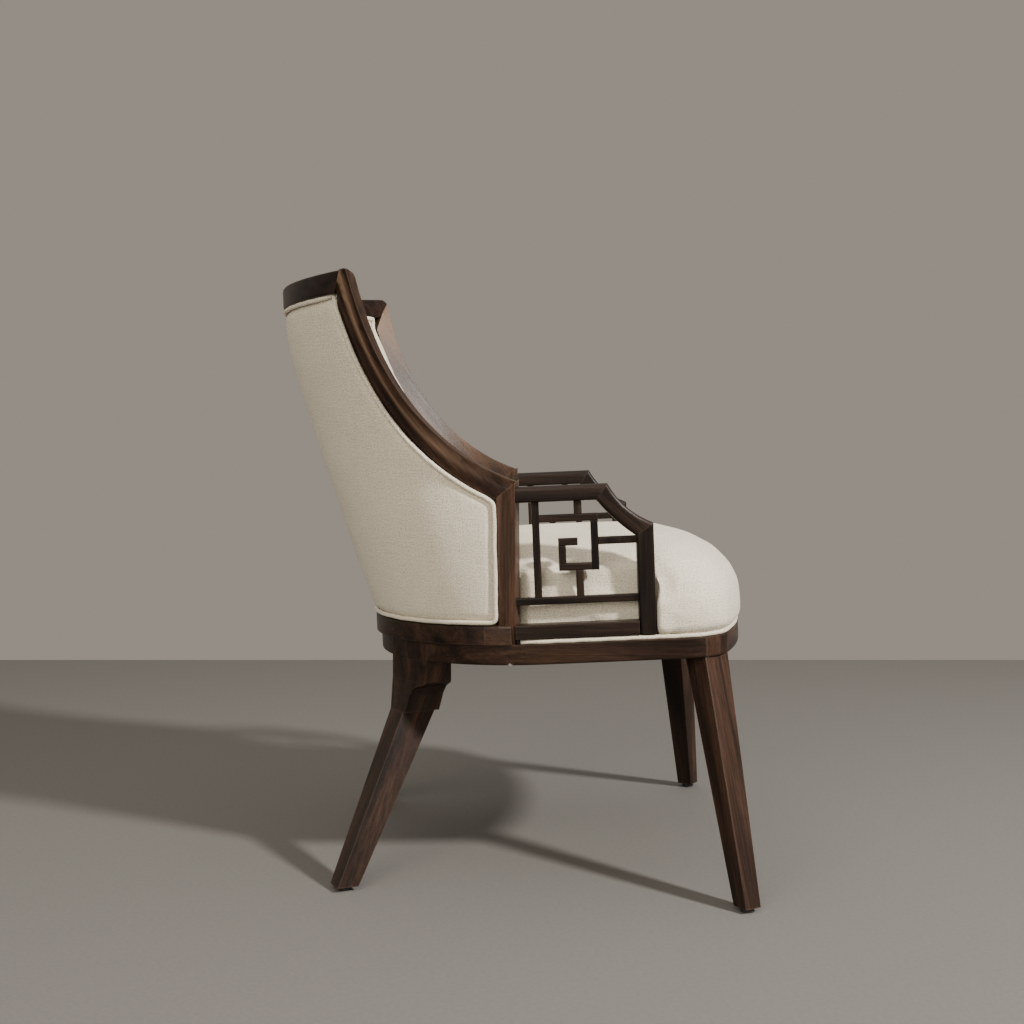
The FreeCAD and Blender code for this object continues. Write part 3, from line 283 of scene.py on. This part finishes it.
def calculate(tree, operation, first, second=0.0):
    """Result of a math node."""
    return add_node(tree, "ShaderNodeMath", {0: first, 1: second}, operation=operation).outputs[0]


def stretched(tree, vector, scale):
    """A vector multiplied by three factors."""
    node = add_node(tree, "ShaderNodeVectorMath", {0: vector, 1: scale}, operation="MULTIPLY")
    return node.outputs[0]


def noise_value(tree, vector, scale, detail=2.0, roughness=0.5, distortion=0.0):
    """Noise between 0 and 1 on a stretched copy of a vector."""
    node = add_node(tree, "ShaderNodeTexNoise", {
        "Vector": stretched(tree, vector, scale),
        "Scale": 1.0,
        "Detail": detail,
        "Roughness": roughness,
        "Distortion": distortion,
    })
    return node.outputs[0]


def ramp(tree, value, stops):
    """Colour ramp over (place, colour) pairs."""
    node = add_node(tree, "ShaderNodeValToRGB", {0: value})
    elements = node.color_ramp.elements
    while len(elements) < len(stops):
        elements.new(1.0)
    for element, (place, colour) in zip(elements, stops):
        element.position = place
        element.color = colour
    return node.outputs[0]


def between(tree, value, low, high):
    """A value remapped from 0 to 1 onto low to high."""
    return add_node(tree, "ShaderNodeMapRange", {0: value, 3: low, 4: high}).outputs[0]


def mixed(tree, factor, first, second, blend_type="MIX"):
    """Mix of two colours."""
    node = tree.nodes.new("ShaderNodeMix")
    node.data_type = "RGBA"
    node.blend_type = blend_type
    sockets = {"factor": node.inputs[0], "first": node.inputs[6], "second": node.inputs[7]}
    for key, value in (("factor", factor), ("first", first), ("second", second)):
        if isinstance(value, bpy.types.NodeSocket):
            tree.links.new(value, sockets[key])
        else:
            sockets[key].default_value = value
    return node.outputs[2]


def grey(value):
    """Neutral colour, also used as a factor."""
    return (value, value, value, 1.0)


def toned(tree, colour, value, share, low, high):
    """A share of the colour multiplied by factors that follow a value between two (value, factor) pairs."""
    stops = [(place, grey(factor)) for place, factor in (low, high)]
    return mixed(tree, share, colour, ramp(tree, value, stops), "MULTIPLY")


# Materials

def painted_side_highlight(tree, colour, streak):
    """Painted highlight: lighter colour on faces turned towards the chair's sides, fading out at the
    stile's foot.
    """
    geometry = add_node(tree, "ShaderNodeNewGeometry")
    facing = add_node(tree, "ShaderNodeSeparateXYZ", {0: geometry.outputs["Normal"]}).outputs[0]
    height = add_node(tree, "ShaderNodeSeparateXYZ", {0: geometry.outputs["Position"]}).outputs[2]
    spread = add_node(tree, "ShaderNodeMapRange",
                      {0: height, 1: highlight_high, 2: highlight_head, 4: highlight_spread}).outputs[0]
    facing = calculate(tree, "ADD", calculate(tree, "ABSOLUTE", facing), spread)
    # Painted highlight where the normal points to the chair's sides, reaching further round towards the
    # stile's head
    flat = ramp(tree, facing, highlight_stops)
    rise = add_node(tree, "ShaderNodeMapRange", {0: height, 1: highlight_low, 2: highlight_high}).outputs[0]
    amount = calculate(tree, "MULTIPLY", flat, rise)
    amount = calculate(tree, "MULTIPLY", amount, between(tree, streak, *highlight_share))
    return mixed(tree, amount, colour, wood_highlight_paint)


def wood(name, direction, seed, tone):
    """Dark open-grained wood under semi-gloss lacquer, its grain along a direction, paler at its edges,
    partly from wear and partly as painted highlight.
    """
    material, tree, shader = new_material(name)
    turn = direction.normalized().rotation_difference(ALONG_X).to_euler()
    place = add_node(tree, "ShaderNodeTexCoord").outputs["Object"]
    grain = add_node(tree, "ShaderNodeMapping", {
        "Vector": place,
        "Rotation": turn,
        "Location": grain_shift * seed,
    }).outputs[0]
    figure = noise_value(tree, grain, figure_waves, detail=3.0, roughness=0.55, distortion=0.9)
    streak = noise_value(tree, grain, streak_waves, detail=3.0, roughness=0.6)
    pore = noise_value(tree, grain, pore_waves, detail=1.0)
    cloud = noise_value(tree, place, cloud_waves)
    colour = ramp(tree, figure, figure_colours)
    colour = toned(tree, colour, streak, *streak_tone)
    colour = toned(tree, colour, pore, *pore_tone)
    colour = toned(tree, colour, cloud, *cloud_tone)
    # Paler edges where the bevel's softened normal differs from the true one: partly wear, partly painted
    # highlight along the arrises
    soft_normal = add_node(tree, "ShaderNodeBevel", {"Radius": worn_and_highlight_band}, samples=4).outputs[0]
    flat_normal = add_node(tree, "ShaderNodeNewGeometry").outputs["Normal"]
    normals = {0: soft_normal, 1: flat_normal}
    alike = add_node(tree, "ShaderNodeVectorMath", normals, operation="DOT_PRODUCT").outputs["Value"]
    edge = ramp(tree, calculate(tree, "SUBTRACT", 1.0, alike), worn_and_highlight_stops)
    wear_and_highlight = calculate(tree, "MULTIPLY", edge, between(tree, streak, *worn_and_highlight_share))
    colour = mixed(tree, wear_and_highlight, colour, wood_worn_and_highlight)
    colour = mixed(tree, 1.0, colour, tone, "MULTIPLY")
    # Painted highlight on the stile's bead, on faces turned to the chair's sides
    if name.startswith("wood_back_stile"):
        colour = painted_side_highlight(tree, colour, streak)
    streak_height = calculate(tree, "MULTIPLY", streak, streak_height_share)
    height = calculate(tree, "ADD", streak_height, calculate(tree, "MULTIPLY", pore, pore_height_share))
    rounded = add_node(tree, "ShaderNodeBevel", {"Radius": edge_round}, samples=4).outputs[0]
    bump = add_node(tree, "ShaderNodeBump", {
        "Strength": wood_bump,
        "Distance": pore_depth,
        "Height": height,
        "Normal": rounded,
    })
    tree.links.new(colour, shader.inputs["Base Color"])
    tree.links.new(between(tree, streak, *wood_roughness), shader.inputs["Roughness"])
    tree.links.new(bump.outputs[0], shader.inputs["Normal"])
    shader.inputs["Specular IOR Level"].default_value = wood_specular
    return material


def fabric(name, light, shade):
    """Plain weave on the UV map, which is in metres."""
    material, tree, shader = new_material(name)
    place = add_node(tree, "ShaderNodeUVMap", uv_map="cloth").outputs[0]
    wander = noise_value(tree, place, wander_waves, detail=1.0)
    parts = add_node(tree, "ShaderNodeSeparateXYZ", {0: place})
    turns = 2 * math.pi / thread_period
    waves = []
    for axis in range(2):
        phase = calculate(tree, "MULTIPLY", parts.outputs[axis], turns)
        phase = calculate(tree, "ADD", phase, calculate(tree, "MULTIPLY", wander, thread_wander))
        waves.append(calculate(tree, "SINE", phase))
    weave = between(tree, calculate(tree, "MULTIPLY", waves[0], waves[1]), 0.5, 1.0)
    warp_slub = noise_value(tree, place, warp_waves)
    weft_slub = noise_value(tree, place, weft_waves)
    slub = calculate(tree, "MULTIPLY", calculate(tree, "ADD", warp_slub, weft_slub), 0.5)
    stain = noise_value(tree, place, stain_waves, detail=3.0)
    fuzz = noise_value(tree, place, fuzz_waves)
    nub = noise_value(tree, place, nub_waves, detail=1.0)
    # Darker where the weave lies low, by the same value as the bump: painted shade between the raised
    # threads
    colour = mixed(tree, weave, shade, light)
    colour = toned(tree, colour, slub, *slub_tone)
    colour = toned(tree, colour, stain, *stain_tone)
    colour = toned(tree, colour, nub, *nub_tone)
    height = weave
    for part, share in ((slub, slub_height_share), (fuzz, fuzz_height_share), (nub, nub_height_share)):
        height = calculate(tree, "ADD", height, calculate(tree, "MULTIPLY", part, share))
    bump = add_node(tree, "ShaderNodeBump", {
        "Strength": weave_bump,
        "Distance": weave_depth,
        "Height": height,
    })
    tree.links.new(colour, shader.inputs["Base Color"])
    tree.links.new(bump.outputs[0], shader.inputs["Normal"])
    shader.inputs["Roughness"].default_value = cloth_roughness
    shader.inputs["Specular IOR Level"].default_value = cloth_specular
    shader.inputs["Sheen Weight"].default_value = cloth_sheen
    shader.inputs["Sheen Roughness"].default_value = sheen_roughness
    return material


def speckled(name, colour, roughness, metallic, grain, depth):
    """Plain material with fine mottling: foam, webbing, lining, steel or rubber."""
    material, tree, shader = new_material(name)
    place = add_node(tree, "ShaderNodeTexCoord").outputs["Object"]
    mottle = noise_value(tree, place, (grain, grain, grain), detail=3.0, roughness=0.6)
    bump = add_node(tree, "ShaderNodeBump", {"Strength": mottle_bump, "Distance": depth, "Height": mottle})
    tree.links.new(toned(tree, colour, mottle, *mottle_tone), shader.inputs["Base Color"])
    rough = between(tree, mottle, roughness - mottle_roughness, roughness + mottle_roughness)
    tree.links.new(rough, shader.inputs["Roughness"])
    tree.links.new(bump.outputs[0], shader.inputs["Normal"])
    shader.inputs["Metallic"].default_value = metallic
    return material


def paint(obj, material):
    """Give the whole object one material."""
    obj.data.materials.clear()
    obj.data.materials.append(material)


def grain_direction(name):
    """Way the grain of a wooden node runs, from what the piece is."""
    side = -1.0 if name.endswith("_right") else 1.0
    low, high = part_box(name)
    size = high - low
    if name.startswith("leg_front"):
        return front_leg_slope * Vector((side, 1.0, 1.0))
    if name.startswith("leg_rear"):
        return rear_leg_slope * Vector((side, 1.0, 1.0))
    if name.startswith(("back_stile", "arm_swoop")):
        return Vector((0.0, size.y, size.z))
    if name.startswith("seat_rail_") and name.endswith(("left", "right")):
        return ALONG_Y
    longest = max(range(3), key=lambda axis: size[axis])
    return (ALONG_X, ALONG_Y, ALONG_Z)[longest]


def wood_tone(name):
    """Factor on a piece's wood colour."""
    for start, tone in tones.items():
        if name.startswith(start):
            return tone
    return grey(1.0)


def dress_frame():
    """Materials for every CAD node that stays in view."""
    plain = {slot: speckled(*finish) for slot, finish in plain_finishes.items()}
    slots = {part["node"]: part["material_slot"] for part in frame["record"]["subparts"]}
    for index, name in enumerate(sorted(nodes)):
        obj = nodes[name]
        if slots[name] == "show_wood":
            paint(obj, wood("wood_" + name, grain_direction(name), index + 1, wood_tone(name)))
        elif slots[name] in plain:
            paint(obj, plain[slots[name]])
        obj.data.shade_smooth()
        weld = obj.modifiers.new("weld", "WELD")
        weld.merge_threshold = weld_reach
        smooth = obj.modifiers.new("edges", "EDGE_SPLIT")
        smooth.split_angle = math.radians(split_angle)
    return plain


# Upholstery

def copied(name, *sources):
    """A new object with a copy of the CAD nodes' meshes."""
    mesh = bpy.data.meshes.new(name)
    together = bmesh.new()
    for source in sources:
        together.from_mesh(nodes[source].data)
    together.to_mesh(mesh)
    together.free()
    obj = bpy.data.objects.new(name, mesh)
    bpy.context.scene.collection.objects.link(obj)
    return obj


def evaluated_mesh(obj):
    """The object's mesh with its modifiers applied."""
    depsgraph = bpy.context.evaluated_depsgraph_get()
    depsgraph.update()
    return bpy.data.meshes.new_from_object(obj.evaluated_get(depsgraph))


def apply_modifiers(obj):
    """Turn the modifiers' result into the object's own mesh."""
    mesh = evaluated_mesh(obj)
    obj.modifiers.clear()
    obj.data = mesh


def remeshed(obj, voxel, rounds):
    """Even mesh over the whole object, smoothed a number of rounds."""
    remesh = obj.modifiers.new("remesh", "REMESH")
    remesh.mode = "VOXEL"
    remesh.voxel_size = voxel
    smooth = obj.modifiers.new("smooth", "SMOOTH")
    smooth.factor = smooth_share
    smooth.iterations = rounds
    apply_modifiers(obj)


def simulate(obj, cap, freedom):
    """Let the pad swell under pressure. Freedom is the share of cap that each place may move."""
    rest = [vertex.co.copy() for vertex in obj.data.vertices]
    group = obj.vertex_groups.new(name="held")
    group.add([index for index, co in enumerate(rest) if freedom(co) < held_share], 1.0, "REPLACE")
    cloth = obj.modifiers.new("cloth", "CLOTH")
    for name, value in cloth_settings.items():
        setattr(cloth.settings, name, value)
    cloth.settings.vertex_group_mass = "held"
    cloth.settings.effector_weights.gravity = 0.0
    cloth.collision_settings.use_collision = False
    cloth.point_cache.frame_start = 1
    cloth.point_cache.frame_end = cloth_frames
    for step in range(1, cloth_frames + 1):
        bpy.context.scene.frame_set(step)
    swollen = evaluated_mesh(obj)
    obj.modifiers.clear()
    for vertex, start, end in zip(obj.data.vertices, rest, swollen.vertices):
        move = end.co - start
        limit = cap * freedom(start)
        if move.length > limit:
            move = move.normalized() * limit
        vertex.co = start + move
    bpy.data.meshes.remove(swollen)
    bpy.context.scene.frame_set(1)


def inflated(obj, amount, freedom, sink=0.0):
    """Move each vertex outwards by a share of amount, and in by the rest's share of sink."""
    mesh = obj.data
    normals = [vertex.normal.copy() for vertex in mesh.vertices]
    for vertex, normal in zip(mesh.vertices, normals):
        share = freedom(vertex.co)
        vertex.co += normal * (amount * share - sink * (1 - share))


def away_from(lines, reach):
    """Function from a place to its share of freedom: none at the sewn lines, all at reach."""
    points = [point for line_points, closed in lines for point in line_points]
    tree = kdtree.KDTree(len(points))
    for index, point in enumerate(points):
        tree.insert(point, index)
    tree.balance()

    def freedom(co):
        share = min(tree.find(co)[2] / reach, 1.0)
        return share * share * (3 - 2 * share)

    return freedom


def pressed(obj, centre, radius, depth):
    """Dent with a radius along each axis, pushed in against the surface's normal."""
    mesh = obj.data
    normals = [vertex.normal.copy() for vertex in mesh.vertices]
    for vertex, normal in zip(mesh.vertices, normals):
        away = vertex.co - centre
        reach = math.sqrt((away.x / radius.x) ** 2 + (away.y / radius.y) ** 2 + (away.z / radius.z) ** 2)
        if reach < 1:
            vertex.co -= normal * depth * (1 - reach * reach) ** 2


def settled(obj, depth, low):
    """Lower the crown by up to depth, and nothing below the height low."""
    high = max(vertex.co.z for vertex in obj.data.vertices)
    for vertex in obj.data.vertices:
        share = max((vertex.co.z - low) / (high - low), 0.0)
        vertex.co.z -= depth * math.sqrt(share)


def rippled(obj, direction):
    """Faint unevenness of cloth over wadding."""
    for vertex in obj.data.vertices:
        wave = noise.noise(vertex.co / ripple_length)
        vertex.co += direction(vertex.co) * ripple_height * wave


def cloth_map(obj, place):
    """UV map in metres, from a function of a corner's position and its face's normal."""
    mesh = obj.data
    while mesh.uv_layers:
        mesh.uv_layers.remove(mesh.uv_layers[0])
    layer = mesh.uv_layers.new(name="cloth")
    for polygon in mesh.polygons:
        for corner in polygon.loop_indices:
            co = mesh.vertices[mesh.loops[corner].vertex_index].co
            layer.data[corner].uv = place(co, polygon.normal)


def round_the_back(co, normal):
    """Cloth coordinates of a place on the barrel back, unrolled."""
    turn = math.atan2(co.x, co.y - barrel_axis_y)
    return (turn * barrel_cloth_radius, co.z)


def over_the_seat(co, normal):
    """Cloth coordinates of a place on the seat: its top seen from above, its sides from the side."""
    if normal.z > seat_top_normal:
        return (co.x, co.y)
    if abs(normal.x) > abs(normal.y):
        return (co.y, co.z)
    return (co.x, co.z)


def outwards(co):
    """Level direction from the barrel back's axis to a place."""
    away = Vector((co.x, co.y - barrel_axis_y, 0.0))
    return away.normalized()


def inwards(co):
    """Level direction from a place to the barrel back's axis."""
    return -outwards(co)


def finished(obj, material, slot_name, fill, place, *replaced):
    """Common last steps of a padded piece."""
    cloth_map(obj, place)
    paint(obj, material)
    obj.data.shade_smooth()
    detail = obj.modifiers.new("detail", "SUBSURF")
    detail.levels = 1
    detail.render_levels = 1
    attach(obj, "root")
    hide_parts(*replaced)


def seat_cushion(material, line):
    """Crowned tight seat over its foam, pulled in beside the arm posts."""
    obj = copied("seat_cushion", "seat_foam", "seat_cover")
    remeshed(obj, seat_voxel, seat_rounds)
    freedom = away_from([line], seat_fade)
    simulate(obj, seat_swell, freedom)
    settled(obj, seat_settle, seat_settle_from)
    for side in (-1, 1):
        for centre, radius, depth in seat_dents:
            place = Vector((side * centre[0], centre[1], centre[2]))
            pressed(obj, place, Vector(radius), depth)
    finished(obj, material, "cover_fabric", seat_fill, over_the_seat, "seat_foam", "seat_cover")


def fill_corners(obj, line, pull):
    """Draw a pad's cloth into the two top corners of its frame."""
    corners = top_corners(line)
    for vertex in obj.data.vertices:
        vertex.co = drawn_out(vertex.co, corners, pull)


def back_pad(material, line):
    """Inner pad of the back."""
    obj = copied("back_pad", "back_foam", "inner_back_cover")
    remeshed(obj, back_voxel, back_rounds)
    freedom = away_from([line], back_fade)
    simulate(obj, back_swell, freedom)
    fill_corners(obj, line, inner_corner_pull)
    finished(obj, material, "cover_fabric", back_fill, round_the_back, "back_foam", "inner_back_cover")


def outer_panel(material, line):
    """Padded cloth over the outside of the back."""
    obj = copied("outer_panel", "outer_back_padding", "outer_back_cover")
    remeshed(obj, panel_voxel, panel_rounds)
    inflated(obj, panel_swell, away_from([line], panel_fade), seam_sink)
    rippled(obj, outwards)
    fill_corners(obj, line, outer_corner_pull)
    covered = ("outer_back_padding", "outer_back_cover")
    finished(obj, material, "cover_fabric", panel_fill, round_the_back, *covered)


def round_the_panel(co):
    """Angle of a point around the middle of the back, seen unrolled."""
    turn = math.atan2(co.x, co.y - barrel_axis_y)
    return math.atan2((co.z - panel_middle) / panel_half_height, turn / panel_half_turn)


def round_the_chair(co):
    """Angle of a point around the seat's middle, from above."""
    return math.atan2(co.x, co.y - seat_middle_y)


def centre_line(node, angle):
    """Points along the middle of a CAD band, and whether it closes on itself."""
    band = copied(node + "_line", node)
    remeshed(band, welt_voxel, 0)
    sums = [Vector((0, 0, 0)) for bin_index in range(welt_bins)]
    counts = [0] * welt_bins
    for vertex in band.data.vertices:
        share = (angle(vertex.co) + math.pi) / (2 * math.pi)
        bin_index = min(int(share * welt_bins), welt_bins - 1)
        sums[bin_index] += vertex.co
        counts[bin_index] += 1
    mesh = band.data
    bpy.data.objects.remove(band)
    bpy.data.meshes.remove(mesh)
    filled = [index for index in range(welt_bins) if counts[index]]
    points = [sums[index] / counts[index] for index in filled]
    gaps = [(filled[i] - filled[i - 1]) % welt_bins for i in range(len(filled))]
    widest = gaps.index(max(gaps))
    closed = max(gaps) < welt_bins * welt_gap_share
    return points[widest:] + points[:widest], closed


def even_steps(points, closed, step):
    """The same line through evenly spaced points, about one step apart."""
    if closed:
        points = points + [points[0]]
    lengths = [0.0]
    for before, after in zip(points, points[1:]):
        lengths.append(lengths[-1] + (after - before).length)
    count = max(int(lengths[-1] / step), 2)
    result = []
    leg = 0
    for index in range(count + 1):
        reach = lengths[-1] * index / count
        while leg < len(lengths) - 2 and lengths[leg + 1] < reach:
            leg += 1
        share = (reach - lengths[leg]) / max(lengths[leg + 1] - lengths[leg], shortest_step)
        result.append(points[leg].lerp(points[leg + 1], share))
    return result[:-1] if closed else result


def smoothed_line(points, closed, rounds):
    """The line with each point moved towards its neighbours, the open ends kept."""
    count = len(points)
    for turn in range(rounds):
        moved = []
        for index, point in enumerate(points):
            if not closed and index in (0, count - 1):
                moved.append(point)
            else:
                moved.append((points[index - 1] + point * 2 + points[(index + 1) % count]) / 4)
        points = moved
    return points


def top_corners(line):
    """The two places of a back's sewn line where it turns from the crest into a stile."""
    points, closed = line
    sides = ([point for point in points if point.x < 0], [point for point in points if point.x > 0])
    return [max(side, key=lambda point: point.z - corner_lean * point.y).copy() for side in sides]


def drawn_out(co, corners, pull):
    """A place near a corner, pulled into it."""
    for corner in corners:
        share = max(1 - (co - corner).length / corner_reach, 0.0)
        co = co + pull * share * share
    return co


def tube(points, closed, radius, sides, inward):
    """Mesh tube round a line, with closed ends where the line is open."""
    made = bmesh.new()
    rings = []
    count = len(points)
    for index, point in enumerate(points):
        before = points[index - 1] if closed or index > 0 else point
        after = points[(index + 1) % count] if closed or index < count - 1 else point
        along = (after - before).normalized()
        side = along.cross(inward(point)).normalized()
        up = side.cross(along)
        ring = []
        for corner in range(sides):
            turn = 2 * math.pi * corner / sides
            ring.append(made.verts.new(point + (side * math.cos(turn) + up * math.sin(turn)) * radius))
        rings.append(ring)
    for index in range(count if closed else count - 1):
        low, high = rings[index], rings[(index + 1) % count]
        for corner in range(sides):
            nxt = (corner + 1) % sides
            made.faces.new((low[corner], low[nxt], high[nxt], high[corner]))
    if not closed:
        made.faces.new(rings[0][::-1])
        made.faces.new(rings[-1])
    bmesh.ops.recalc_face_normals(made, faces=made.faces)
    mesh = bpy.data.meshes.new("tube")
    made.to_mesh(mesh)
    made.free()
    return mesh


def sewn_line(node, angle):
    """Even points along a CAD welt band, and whether they close on themselves."""
    points, closed = centre_line(node, angle)
    return smoothed_line(even_steps(points, closed, welt_step), closed, welt_rounds), closed


def back_piping_line(line, pull, proud):
    """A back's sewn line with its top corners filled, standing a little proud of the cloth."""
    points, closed = line
    corners = top_corners(line)
    return [drawn_out(point, corners, pull) + proud(point) * piping_proud for point in points], closed


def piping(node, name, material, place, line, inward):
    """Round cord sewn into a cloth edge, along the CAD band's own middle."""
    points, closed = line
    obj = bpy.data.objects.new(name, tube(points, closed, welt_radius, welt_sides, inward))
    bpy.context.scene.collection.objects.link(obj)
    cloth_map(obj, place)
    paint(obj, material)
    obj.data.shade_smooth()
    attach(obj, "root")
    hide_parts(node)


def edge_loop(made):
    """The outline of an open mesh, in order."""
    start = next(edge for edge in made.edges if edge.is_boundary)
    loop = [start.verts[0], start.verts[1]]
    while True:
        last = loop[-1]
        onward = [edge.other_vert(last) for edge in last.link_edges if edge.is_boundary]
        fresh = [vert for vert in onward if vert != loop[-2]]
        if not fresh or fresh[0] == loop[0]:
            return [vert.co.copy() for vert in loop]
        loop.append(fresh[0])


def staples(outline, middle):
    """Wire staples that hold the lining, on one mesh."""
    made = bmesh.new()
    points = even_steps(outline, True, staple_spacing)
    for index, point in enumerate(points):
        along = (points[(index + 1) % len(points)] - points[index - 1]).normalized()
        inside = (middle - point).normalized()
        centre = point + inside * staple_inset - ALONG_Z * staple_thickness
        half = along * staple_length / 2
        rise = ALONG_Z * staple_thickness
        path = [centre - half + rise, centre - half, centre, centre + half, centre + half + rise]
        made.from_mesh(tube(path, False, staple_thickness / 2, staple_sides, lambda co: inside))
    mesh = bpy.data.meshes.new("staples")
    made.to_mesh(mesh)
    made.free()
    obj = bpy.data.objects.new("staples", mesh)
    bpy.context.scene.collection.objects.link(obj)
    return obj


def lining(cloth, steel):
    """Dust cloth stapled under the seat frame, sagging a little between its edges."""
    made = bmesh.new()
    made.from_mesh(nodes["dust_cover"].data)
    bmesh.ops.remove_doubles(made, verts=made.verts, dist=weld_reach)
    upper = [face for face in made.faces if face.normal.z > lining_face_normal]
    bmesh.ops.delete(made, geom=upper, context="FACES")
    for turn in range(lining_cuts):
        long_edges = [edge for edge in made.edges if edge.calc_length() > lining_spacing]
        bmesh.ops.subdivide_edges(made, edges=long_edges, cuts=1)
        bmesh.ops.triangulate(made, faces=made.faces)
        bmesh.ops.beautify_fill(made, faces=made.faces, edges=made.edges, method="ANGLE")
    area = sum(face.calc_area() for face in made.faces)
    inner = [vert for vert in made.verts if not vert.is_boundary]
    for turn in range(lining_rounds):
        for vert in inner:
            around = [edge.other_vert(vert).co.z for edge in vert.link_edges]
            vert.co.z = sum(around) / len(around) - lining_load
    outline = edge_loop(made)
    mesh = bpy.data.meshes.new("lining")
    made.to_mesh(mesh)
    made.free()
    obj = bpy.data.objects.new("lining", mesh)
    bpy.context.scene.collection.objects.link(obj)
    cloth_map(obj, lambda co, normal: (co.x, co.y))
    paint(obj, cloth)
    obj.data.shade_smooth()
    thick = obj.modifiers.new("thick", "SOLIDIFY")
    thick.thickness = lining_thickness
    thick.offset = 0.0
    low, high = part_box("dust_cover")
    pins = staples(outline, (low + high) / 2)
    paint(pins, steel)
    for piece, slot_name in ((obj, "lining"), (pins, "zinc_steel")):
        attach(piece, "root")
    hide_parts("dust_cover")


def upholstery(plain):
    """All soft pieces, in place of the CAD nodes that stand for them."""
    cover = fabric("cover_cloth", cloth_light, cloth_shade)
    seat_line = sewn_line("seat_welt", round_the_chair)
    outer_line = sewn_line("outer_back_welt", round_the_panel)
    inner_line = sewn_line("inner_back_welt", round_the_panel)
    seat_cushion(cover, seat_line)
    back_pad(cover, inner_line)
    outer_panel(cover, outer_line)
    piping("seat_welt", "seat_piping", cover, over_the_seat, seat_line, lambda co: ALONG_Z)
    outer_line = back_piping_line(outer_line, outer_corner_pull, outwards)
    inner_line = back_piping_line(inner_line, inner_corner_pull, inwards)
    piping("outer_back_welt", "outer_piping", cover, round_the_back, outer_line, inwards)
    piping("inner_back_welt", "inner_piping", cover, round_the_back, inner_line, inwards)
    lining(plain["lining"], plain["zinc_steel"])


# Stage

def look_at(obj, place, target):
    """Put an object at a place and turn it towards a target."""
    obj.location = place
    obj.rotation_euler = (target - place).to_track_quat("-Z", "Y").to_euler()


def area_light(name, place, target, size, power, colour):
    """Round area light at a place, facing a target."""
    light = bpy.data.lights.new(name, "AREA")
    light.shape = "DISK"
    light.size = size
    light.energy = power
    light.color = colour
    obj = bpy.data.objects.new(name, light)
    bpy.context.scene.collection.objects.link(obj)
    look_at(obj, place, target)


def lights():
    """A hard sun-like key, a broad fill from the camera's side, a soft top light and a plain backdrop."""
    turn = math.radians(key_turn)
    rise = math.radians(key_height)
    flat = Vector((-math.cos(turn), -math.sin(turn), 0))
    key = chair_middle + (flat * math.cos(rise) + ALONG_Z * math.sin(rise)) * key_distance
    area_light("key", key, chair_middle, key_size, key_power, key_colour)
    left = chair_middle + fill_direction.normalized() * fill_distance
    area_light("fill", left, chair_middle, fill_size, fill_power, fill_colour)
    above = chair_middle + ALONG_Z * top_height
    area_light("top", above, chair_middle, top_size, top_power, top_colour)
    world = bpy.data.worlds.new("studio")
    world.use_nodes = True
    background = world.node_tree.nodes["Background"]
    background.inputs["Color"].default_value = world_colour
    background.inputs["Strength"].default_value = world_strength
    bpy.context.scene.world = world


def studio_floor():
    """Plain matt floor, which ends where the photograph's does."""
    material, tree, shader = new_material("floor_paint")
    place = add_node(tree, "ShaderNodeTexCoord").outputs["Object"]
    grain = noise_value(tree, place, floor_waves, detail=3.0)
    tree.links.new(ramp(tree, grain, floor_colours), shader.inputs["Base Color"])
    shader.inputs["Roughness"].default_value = floor_roughness
    mesh = bpy.data.meshes.new("floor")
    near, far = -floor_reach, floor_far_edge
    corners = [(near, near, 0), (far, near, 0), (far, -near, 0), (near, -near, 0)]
    mesh.from_pydata(corners, [], [range(len(corners))])
    obj = bpy.data.objects.new("floor", mesh)
    bpy.context.scene.collection.objects.link(obj)
    paint(obj, material)


def camera():
    """Camera of the photograph, level in roll and square to the chair's side."""
    data = bpy.data.cameras.new("camera")
    data.sensor_width = sensor_width
    data.lens = sensor_width * focal_pixels / image_pixels
    obj = bpy.data.objects.new("camera", data)
    bpy.context.scene.collection.objects.link(obj)
    obj.location = (-camera_distance, camera_side, camera_height)
    obj.rotation_euler = Euler((math.radians(90 - camera_pitch), 0.0, math.radians(-90)))
    bpy.context.scene.camera = obj


upholstery(dress_frame())
lights()
studio_floor()
camera()

bpy.context.view_layer.update()
